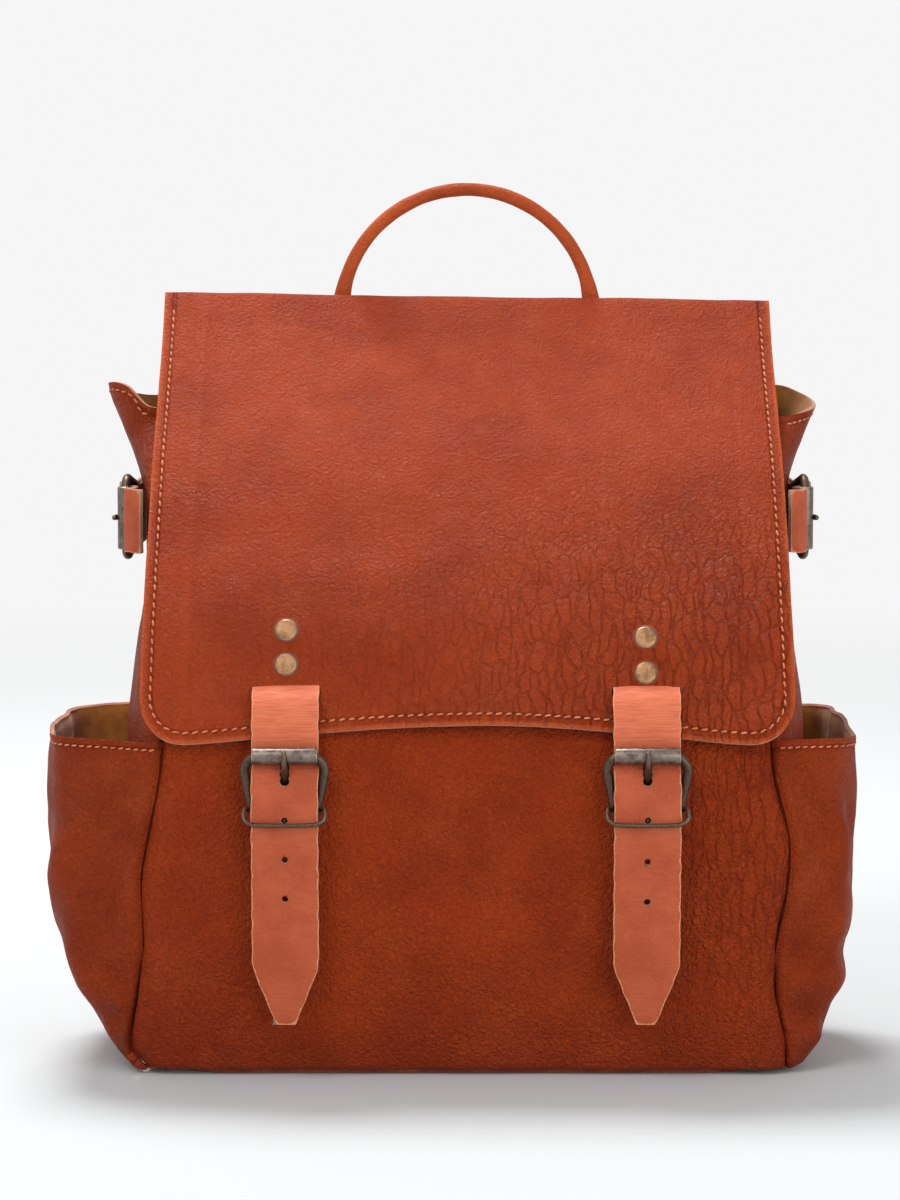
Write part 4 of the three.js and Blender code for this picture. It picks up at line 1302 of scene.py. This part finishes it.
def tip_width(z, full=30.0):
    """Full width down to the taper, then two straight cuts and a blunt tip."""
    return min(full, 8.6 + (z - 28.4) * 0.8)


def chape_path(length, back):
    """Leather folded round the hinge bar: front ply, fold, back ply."""
    front = [(-0.2, -length), (-0.4, -length * 0.5), (-1.4, -6.0), (-3.9, -1.6)]
    over = [(p.y, p.z) for p in arc((0, 0), 4.1, 165, 15, 6)]
    return front + over + [(back - 0.2, -7), (back, -length * 0.5), (back, -length)]


PRONG_SLOT = ((-3.2, -9, -4.6), (3.2, 9, 6.4))


def chape(name, length, width, back):
    return strap(name, chape_path(length, back), width - 1.4, thickness=1.5, step=1.8, crown=0.0,
                 windows=[PRONG_SLOT])


# %% [markdown]
# A chape's prong slot is a window like the flap's slits, cut in the thin sheet before it is thickened,
# while the prong holes of a strap are cut afterwards with pins. All straps share one path through a
# buckle: behind the roller, out through the frame, over the hinge bar and under the keeper.

# %% Threaded straps
THREADED = [(-5.4, -14), (-7.0, -5), (-7.2, 3), (-6.0, 11), (-3.2, 20), (1.4, 26.5), (2.2, 33), (2.3, 40)]

# A shoulder strap lies in a plane that leans outwards: this far aside over this drop, in mm. Its buckle
# sits in that plane at KIT_SPOT: backwards and down from the strap's upper end.
ASIDE, DROP = 86, 288
LEAN, LONG = math.atan2(ASIDE, DROP), math.hypot(ASIDE, DROP)
PLANE = Matrix.Translation(Vector((38, 76.5, 318)) * MM) @ Matrix.Rotation(-LEAN, 4, "Y")
MIRROR = Matrix.Diagonal((-1, 1, 1, 1))
KIT_SPOT = (63.5, -152)


def kit_matrix(side, kind):
    """Where the buckle kit stands."""
    if kind == "front":
        return Matrix.Translation(Vector((strap_centre(side), -91, 122)) * MM)
    if kind == "side":
        basis = Matrix(((0, -1, 0, 156.5 * MM), (0, 0, -1, 27 * MM), (1, 0, 0, 250 * MM), (0, 0, 0, 1)))
    else:
        basis = PLANE @ Matrix.Translation(Vector((0, *KIT_SPOT)) * MM) @ Matrix.Rotation(math.pi, 4, "X")
    return MIRROR @ basis if side < 0 else basis


HOLE_HEIGHTS = {-1: (122.6, 104.6, 86.6), 1: (122.6, 103.6, 85.2)}
SLOT_HEIGHTS = (139.8, 142.6, 145.4)
CLOSURE_PATH = [(-89.6, 28.4), (-91.2, 42), (-92.8, 62), (-94.6, 88), (-96.2, 106), (-97.9, 117),
                (-98.2, 125), (-97.0, 133), (-94.0, 142), (-89.8, 149.5), (-88.6, 156), (-88.3, 162),
                (-87.6, 168.6), (-86.0, 173.0), (-82.8, 176.8), (-78.0, 179.4), (-73.2, 182.4),
                (-67.2, 192), (-59.8, 208.8), (-56.8, 214.3)]
for side, word in ((-1, "left"), (1, "right")):
    holes = [(0, -92, z, 1.5) for z in HOLE_HEIGHTS[side]] + [(0, -92, z, 2.2) for z in SLOT_HEIGHTS]
    made = strap(f"closure_strap_hide_{word}", CLOSURE_PATH, tip_width, holes=holes, seed=2.0 + side)
    settle(made, Matrix.Translation(Vector((strap_centre(side), 0, 0)) * MM))
    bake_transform(made)
    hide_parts(f"closure_strap_{word}", f"closure_strap_root_{word}")
print("closure straps cut")

# %% Front buckles
for side, word in ((-1, "left"), (1, "right")):
    body, place = f"closure_{word}", kit_matrix(side, "front")
    made = chape(f"closure_chape_hide_{word}", 34, 30, 3.0)
    belongs(settle(made, place), body, "strap_leather", f"closure_chape_{word}")
    belongs(settle(frame_rod(f"buckle_loop_{word}", 30), place), body, "buckle_bronze",
            f"buckle_frame_{word}")
    belongs(settle(keeper_wire(f"keeper_{word}", 30), place), body, "buckle_bronze", f"wire_keeper_{word}")
    belongs(settle(roller_sleeve(f"roller_sleeve_{word}", 30), place), f"roller_{word}", "buckle_bronze",
            f"buckle_roller_{word}")
    belongs(settle(prong_rod(f"prong_wire_{word}"), place), f"prong_{word}", "buckle_bronze",
            f"buckle_prong_{word}")
    belongs(settle(stud(f"press_stud_{word}", 3.3, -23), place), body, "rivet_brass", f"snap_stud_{word}")
    made = socket(f"press_socket_{word}", -83.9, 99)
    settle(made, Matrix.Translation(Vector((strap_centre(side), 0, 0)) * MM))
    belongs(made, "bag", "rivet_brass", f"snap_socket_{word}")
print("front buckles set")

# %% Side cinch straps and their buckles
CINCH_PATH = [(-5.1, -26.5), *THREADED[:-2], (1.9, 30), (0.6, 34.5), (-1.8, 38.5), (-1.9, 43),
              (2.4, 48), (6.4, 51)]
for side, word in ((-1, "left"), (1, "right")):
    place = kit_matrix(side, "side")
    made = strap(f"cinch_strap_hide_{word}", CINCH_PATH, 29.4, seed=4.0 + side,
                 holes=[(0, -3, 21.0, 1.6), (0, -6, -20.0, 1.5)])
    belongs(settle(made, place), "bag", "strap_leather", f"cinch_strap_{word}")
    made = chape(f"cinch_chape_hide_{word}", 31, 30, 4.0)
    belongs(settle(made, place), "bag", "strap_leather", f"cinch_chape_{word}")
    belongs(settle(frame_rod(f"cinch_loop_{word}", 30), place), "bag", "buckle_bronze",
            f"cinch_buckle_{word}")
    belongs(settle(roller_sleeve(f"cinch_sleeve_{word}", 30), place), f"cinch_roller_{word}",
            "buckle_bronze", f"cinch_roller_{word}")
    belongs(settle(prong_rod(f"cinch_prong_wire_{word}"), place), f"cinch_prong_{word}", "buckle_bronze",
            f"cinch_prong_{word}")
print("cinch straps set")

# %% Rivets
RIVET_SHIFT = {("upper", -1): 2.4, ("lower", -1): 2.2, ("upper", 1): -0.8, ("lower", 1): -1.4}
RIVET_PROFILE = [(0, 1.25), (3.4, 1.2), (4.5, 1.0), (5.05, 0.5), (5.1, 0.1), (4.8, -0.1), (1.5, -0.15),
                 (1.5, -6.4), (4.0, -6.5), (4.0, -7.5), (0, -7.6)]
RIM_SHADOW_PROFILE = [(4.9, 0.3), (5.5, 0.35), (6.0, 0.0), (5.9, -0.4), (4.9, -0.4), (4.9, 0.3)]
for side, word in ((-1, "left"), (1, "right")):
    for step in ("upper", "lower"):
        low, high = level(f"rivet_{step}_{word}")
        z = (low.z + high.z) / 2 + 1.6 + RIVET_SHIFT[step, side]
        out = flap_along(distance_at(z))[1]
        face = flap_point(strap_centre(side), distance_at(z))
        middle = Vector((strap_centre(side), face.y, face.z)) * MM
        turn = out.to_track_quat("Z", "Y").to_matrix().to_4x4()
        made = lathe(f"rivet_cap_{step}_{word}", RIVET_PROFILE, brass)
        settle(made, Matrix.Translation(middle + out * 0.2 * MM) @ turn)
        belongs(made, "flap", "rivet_brass", f"rivet_{step}_{word}")
        # A dark leather ring under each cap: the pressed rim of leather round the rivet, coloured dark as
        # painted contact shadow.
        rim_shadow = lathe(f"rivet_rim_shadow_{step}_{word}", RIM_SHADOW_PROFILE, dark_edge)
        settle(rim_shadow, Matrix.Translation(middle) @ turn)
        belongs(rim_shadow, "flap", None)
print("rivets set")

# %% [markdown]
# ## Handle
# The handle is a strip of leather rolled round a cord and butted along the inside, and its two ends are
# left flat and sewn to the yoke. It is one piece from end to end, so it is made as rings along one line:
# flat rounded boxes at both ends that turn into circles where the cord starts.

# %% Handle
low, high = level("handle_cover")
HANDLE_X, HANDLE_Y, HANDLE_Z = (low.x + high.x) / 2, (low.y + high.y) / 2, 342.0
HANDLE_R = (high.x - low.x) / 2 - 3.25


def handle_ring(centre, run, wide, thick, sides=14):
    """One ring round the line: wide across the handle's plane, thick from front to back."""
    across = run.cross(Vector((0, 1, 0))).normalized()
    ring = []
    for k in range(sides):
        a = 2 * math.pi * k / sides
        c, s = math.cos(a), math.sin(a)
        square = 0.62 if thick < wide * 0.75 else 1.0
        ring.append(centre + across * (wide / 2 * math.copysign(abs(c) ** square, c))
                    + Vector((0, thick / 2 * math.copysign(abs(s) ** square, s), 0)))
    return ring


line = [Vector((HANDLE_X - HANDLE_R - 0.2, HANDLE_Y - 1.6, z)) for z in (329, 332, 336, 340)]
line += [Vector((HANDLE_X - HANDLE_R * math.cos(a), HANDLE_Y, HANDLE_Z + HANDLE_R * math.sin(a)))
         for a in [math.radians(d) for d in spread(3.5, 176.5, 44)]]
line += [Vector((2 * HANDLE_X - p.x, p.y, p.z)) for p in line[3::-1]]
rings = []
for i, p in enumerate(line):
    run = (line[min(i + 1, len(line) - 1)] - line[max(i - 1, 0)]).normalized()
    up = max(0.0, p.z - 340)
    wide = read([(0, 9.6), (6, 9.4), (12, 8.4), (20, 7.0), (34, 6.6)], up)
    thick = read([(0, 4.0), (6, 4.8), (12, 6.2), (20, 6.6), (34, 6.6)], up)
    pinch = 1 + 0.02 * math.sin(i * 2.1) + 0.015 * math.sin(i * 0.83)
    rings.append(handle_ring(p, run, wide * pinch, thick * pinch))
handle_hide = close_ends(cage("handle_hide", rings, ring=True))
handle_hide.data.materials.append(handle_leather)
smooth(handle_hide)
modifier(handle_hide, "SUBSURF", levels=2, render_levels=2)
displace(handle_hide, RIPPLE, 0.3)
apply_stack(handle_hide)
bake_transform(handle_hide)
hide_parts("handle_cover", "handle_core", "handle_end_left", "handle_end_right")
seams = []
for s in (-1, 1):
    x = HANDLE_X + s * HANDLE_R
    seams.append([(x - 3, HANDLE_Y + 6, 330.6), (x + 3, HANDLE_Y + 6, 330.6)])
    seams += [[(x + e, HANDLE_Y + 6, z) for z in spread(331, 341, 4)] for e in (-3.4, 3.4)]
made = stitches("handle_seam", handle_hide, seams, (0, 1, 0), pitch=2.6, length=1.9, thick=0.36)
belongs(made, "bag", None)
print("handle rolled")

# %% [markdown]
# ## Shoulder straps
# Each shoulder strap grows from a patch on the yoke: a padded upper half, two hides with foam between,
# and a plain strap with holes below, held by a buckle. The pad is stuffed by simulation: a slim slab is
# remeshed, filled with a little pressure, and held to a few millimetres of travel, so it swells between
# its edges as foam does. The seam is stitched afterwards. One pad is simulated and the other is its
# mirror image. A known fault: the cells of the remesh are larger than the slab is thick, so at full size
# the pad comes out in two parts, with a gap 45 mm from its upper end, and its edges are ragged. Cells of
# 3 mm or less keep the slab whole.

# %% The strap's plane
PAD_SIDE_VIEW = [(3, 1), (21, -4.4), (43, 4.6), (55.4, 25), (60.8, 62), (62, 100), (62.2, 146)]
PAD_LINE = line_through([(0, out, -down) for out, down in PAD_SIDE_VIEW], 4.0)


def pad_half(down):
    return read([(0, 14.0), (10, 18.6), (104, 18.8), (126, 11.9), (150, 11.7)], down)


def pad_rows(thickness, columns, inset=0.0):
    """Two faces of the pad, as rows of points: the outer face and the face towards the wearer."""
    faces = []
    for sign in (1, -1):
        rows = []
        for i, p in enumerate(PAD_LINE):
            run = (PAD_LINE[min(i + 1, len(PAD_LINE) - 1)] - PAD_LINE[max(i - 1, 0)]).normalized()
            out = Vector((0, -run.z, run.y))
            half = pad_half(max(0.0, -p.z) if p.y > 40 else 12.0 * min(1, p.y / 20)) - inset
            rows.append([Vector((t * half, p.y, p.z))
                         + out * (sign * thickness / 2 * (1 - abs(t) ** 6 * 0.5))
                         for t in spread(-1, 1, columns)])
        faces.append(rows)
    return faces


def pad_slab(name, thickness):
    front, behind = pad_rows(thickness, 10)
    rings = [a + b[::-1] for a, b in zip(front, behind)]
    return close_ends(cage(name, rings, ring=True), triangles=True)


# %% Stuffing the pad
CELL = 0.0036
CLOTH_FRAMES = 20


def stuffed(thing, most=2.2):
    """Blows the slab up a little with cloth pressure, and caps how far any point may travel in mm."""
    modifier(thing, "REMESH", mode="VOXEL", voxel_size=CELL)
    apply_stack(thing)
    rest = [v.co.copy() for v in thing.data.vertices]
    cloth = modifier(thing, "CLOTH")
    cloth.settings.use_pressure = True
    cloth.settings.uniform_pressure_force = 4.0
    cloth.settings.effector_weights.gravity = 0.0
    cloth.settings.tension_stiffness = cloth.settings.compression_stiffness = 30.0
    cloth.point_cache.frame_start, cloth.point_cache.frame_end = 1, CLOTH_FRAMES
    for number in range(1, CLOTH_FRAMES + 1):
        scene.frame_set(number)
    apply_stack(thing)
    moves = []
    for v, p in zip(thing.data.vertices, rest):
        move = v.co - p
        moves.append(move.length / MM)
        if move.length > most * MM:
            v.co = p + move.normalized() * most * MM
    print(f"cloth moved {len(moves)} points by {sum(moves) / len(moves):.2f} mm on average, "
          f"{max(moves):.2f} mm at most, before the cap of {most} mm")
    scene.frame_set(1)
    return thing


pad = pad_slab("shoulder_pad_right", 3.4)
stuffed(pad)
for attribute in ("rim", "laid"):
    if attribute in pad.data.attributes:
        pad.data.attributes.remove(pad.data.attributes[attribute])
measure(pad)
for v, r in zip(pad.data.vertices, pad.data.attributes["rim"].data):
    down = max(0.0, -v.co.z / MM)
    r.value = max(0.0, pad_half(down) - abs(v.co.x) / MM) if v.co.y > 0.03 else 8.0
pad.data.materials.append(trim_leather)
smooth(pad)
modifier(pad, "SUBSURF", levels=1, render_levels=1)
displace(pad, RIPPLE, 0.35)
apply_stack(pad)
settle(pad, PLANE)
measured = pad.data.attributes["laid"].data
measured.foreach_set("vector", [c for v in pad.data.vertices for c in v.co])
twin = new_object("shoulder_pad_left", pad.data.copy())
settle(twin, MIRROR)
pads = {-1: twin, 1: pad}
print("pads stuffed:", len(pad.data.polygons), "faces")


# %% Seams, folds and buckles of the shoulder straps
def in_plane(side, x, out, down):
    p = PLANE @ (Vector((x, out, -down)) * MM)
    return Vector((side * p.x, p.y, p.z)) / MM


def outward(p):
    return Vector((0, 1, 0.25 * (p.z - 250) / 60))


# The adjuster strap seen from the side in the buckle's own frame, from its tip to the lower tab.
TO_KIT = [(KIT_SPOT[0] - out, down + KIT_SPOT[1])
          for out, down in [(57, LONG - 76), (42, LONG - 42), (20, LONG - 14), (3, LONG - 3)]]
ADJUSTER_PATH = [(-6.6, -56), (-6.6, -34), (-6.4, -22), *THREADED, (6.0, 56), (8.0, 66), *TO_KIT]
for side, word in ((-1, "left"), (1, "right")):
    body = f"shoulder_{word}"
    belongs(pads[side], body, "flap_leather", f"shoulder_strap_{word}")
    edges = [[in_plane(side, s * (pad_half(max(0.0, -p.z)) - 3.6), p.y, -p.z) for p in PAD_LINE[5:-2]]
             for s in (-1, 1)]
    made = stitches(f"pad_seam_{word}", pads[side], edges, outward, pitch=4.4, reach=12.0)
    belongs(made, body, None)
    place = kit_matrix(side, "shoulder")
    made = strap(f"adjuster_strap_hide_{word}", ADJUSTER_PATH, 24.4, seed=6.0 + side, step=4.5,
                 holes=[(0, -3, 21.0, 1.6), (0, -6.6, -24.0, 1.5), (0, -6.6, -38.0, 1.5)])
    belongs(settle(made, place), body, "strap_leather", f"adjuster_strap_{word}")
    belongs(settle(frame_rod(f"adjuster_loop_{word}", 25), place), body, "buckle_bronze",
            f"adjuster_buckle_{word}")
    belongs(settle(prong_rod(f"adjuster_prong_wire_{word}"), place), f"adjuster_prong_{word}",
            "buckle_bronze", f"adjuster_prong_{word}")
    belongs(settle(roller_sleeve(f"adjuster_sleeve_{word}", 25), place), body, "buckle_bronze")
    made = chape(f"adjuster_chape_{word}", 22, 25, 4.0)
    turn = place @ Matrix.Rotation(math.pi, 4, "X") @ Matrix.Diagonal((1, -1, 1, 1))
    belongs(settle(made, turn), body, "flap_leather")
print("shoulder straps set")

# %% [markdown]
# ## Patch, roots and tabs
# The patch spreads the pull of both shoulder straps over the yoke. The roots are the short tongues between
# patch and strap, and the tabs hold the lower ends in the side seams.

# %% Patch, roots and tabs
low, high = level("shoulder_patch")
patch_hide = rounded_grid("patch_hide", (low.x, low.z), (high.x, high.z), 8, 20, 8,
                          lambda a, b: Vector((-a, high.y, b)))
thicken(patch_hide, 2.1, [trim_leather, flesh_side, dark_edge], soft=((RIPPLE, 0.25),))
belongs(patch_hide, "bag", "flap_leather", "shoulder_patch")
edge = [(low.x + 12, low.z + 3.4), (high.x - 12, low.z + 3.4), (high.x - 3.4, low.z + 12),
        (high.x - 3.4, high.z - 12), (high.x - 12, high.z - 3.4), (low.x + 12, high.z - 3.4),
        (low.x + 3.4, high.z - 12), (low.x + 3.4, low.z + 12), (low.x + 12, low.z + 3.4)]
seam = stitches("patch_seam", patch_hide, [[(x, high.y + 1, z) for x, z in edge]], (0, 1, 0), reach=4.0)
belongs(seam, "bag", None)



def tongue(name, foot, deep, wide, high, steps):
    """A short oval root that grows backwards from foot. wide and high are its end and what the foot adds."""
    rows = []
    for t in spread(0, 1, steps):
        w, h = wide[0] + wide[1] * (1 - t) ** 2, high[0] + high[1] * (1 - t) ** 2
        rows.append([Vector((foot[0] + w * math.cos(a), foot[1] + deep * t, foot[2] + h * math.sin(a)))
                     for a in [2 * math.pi * k / 14 for k in range(14)]])
    made = close_ends(cage(name, rows, ring=True))
    made.data.materials.append(trim_leather)
    modifier(smooth(made), "SUBSURF", levels=1, render_levels=1)
    return made


TAB_X, TAB_Z = 124, 30
for side, word in ((-1, "left"), (1, "right")):
    low, high = level(f"shoulder_root_{word}")
    middle = (low + high) / 2
    root = tongue(f"root_{word}", (middle.x, low.y, middle.z), high.y - low.y, (6, 5), (2.5, 2.0), 6)
    belongs(root, "bag", "flap_leather", f"shoulder_root_{word}")

    left, right = [(-6, 14), (-34, -20)], [(8, 14), (18, -26)]
    rows = []
    for t in spread(1, 0, 8):
        a = Vector((left[0][0] * (1 - t) + left[1][0] * t, 0, left[0][1] * (1 - t) + left[1][1] * t))
        b = Vector((right[0][0] * (1 - t) + right[1][0] * t, 0, right[0][1] * (1 - t) + right[1][1] * t))
        row = [a.lerp(b, u) for u in spread(1, 0, 8)]
        rows.append([Vector((side * (TAB_X + p.x), 68.0, TAB_Z + p.z)) for p in row][::side])
    tab = cage(f"tab_{word}", rows)
    thicken(tab, 2.6, [trim_leather, flesh_side, dark_edge], levels=1, soft=())
    belongs(tab, "bag", "flap_leather", f"lower_tab_{word}")
    line = [(side * (TAB_X + x), 70, TAB_Z + z)
            for x, z in ((-7.4, 7), (-28, -17.4), (13.4, -22), (7.0, 8))]
    seam = stitches(f"tab_seam_{word}", tab, [line], (0, 1, 0), pitch=4.0, reach=5.0)
    belongs(seam, "bag", None)
    made = tongue(f"tongue_{word}", (side * TAB_X, 67.6, TAB_Z), 7.9, (5.6, 3), (2.6, 1.2), 5)
    belongs(made, "bag", "flap_leather")
print("back finished")
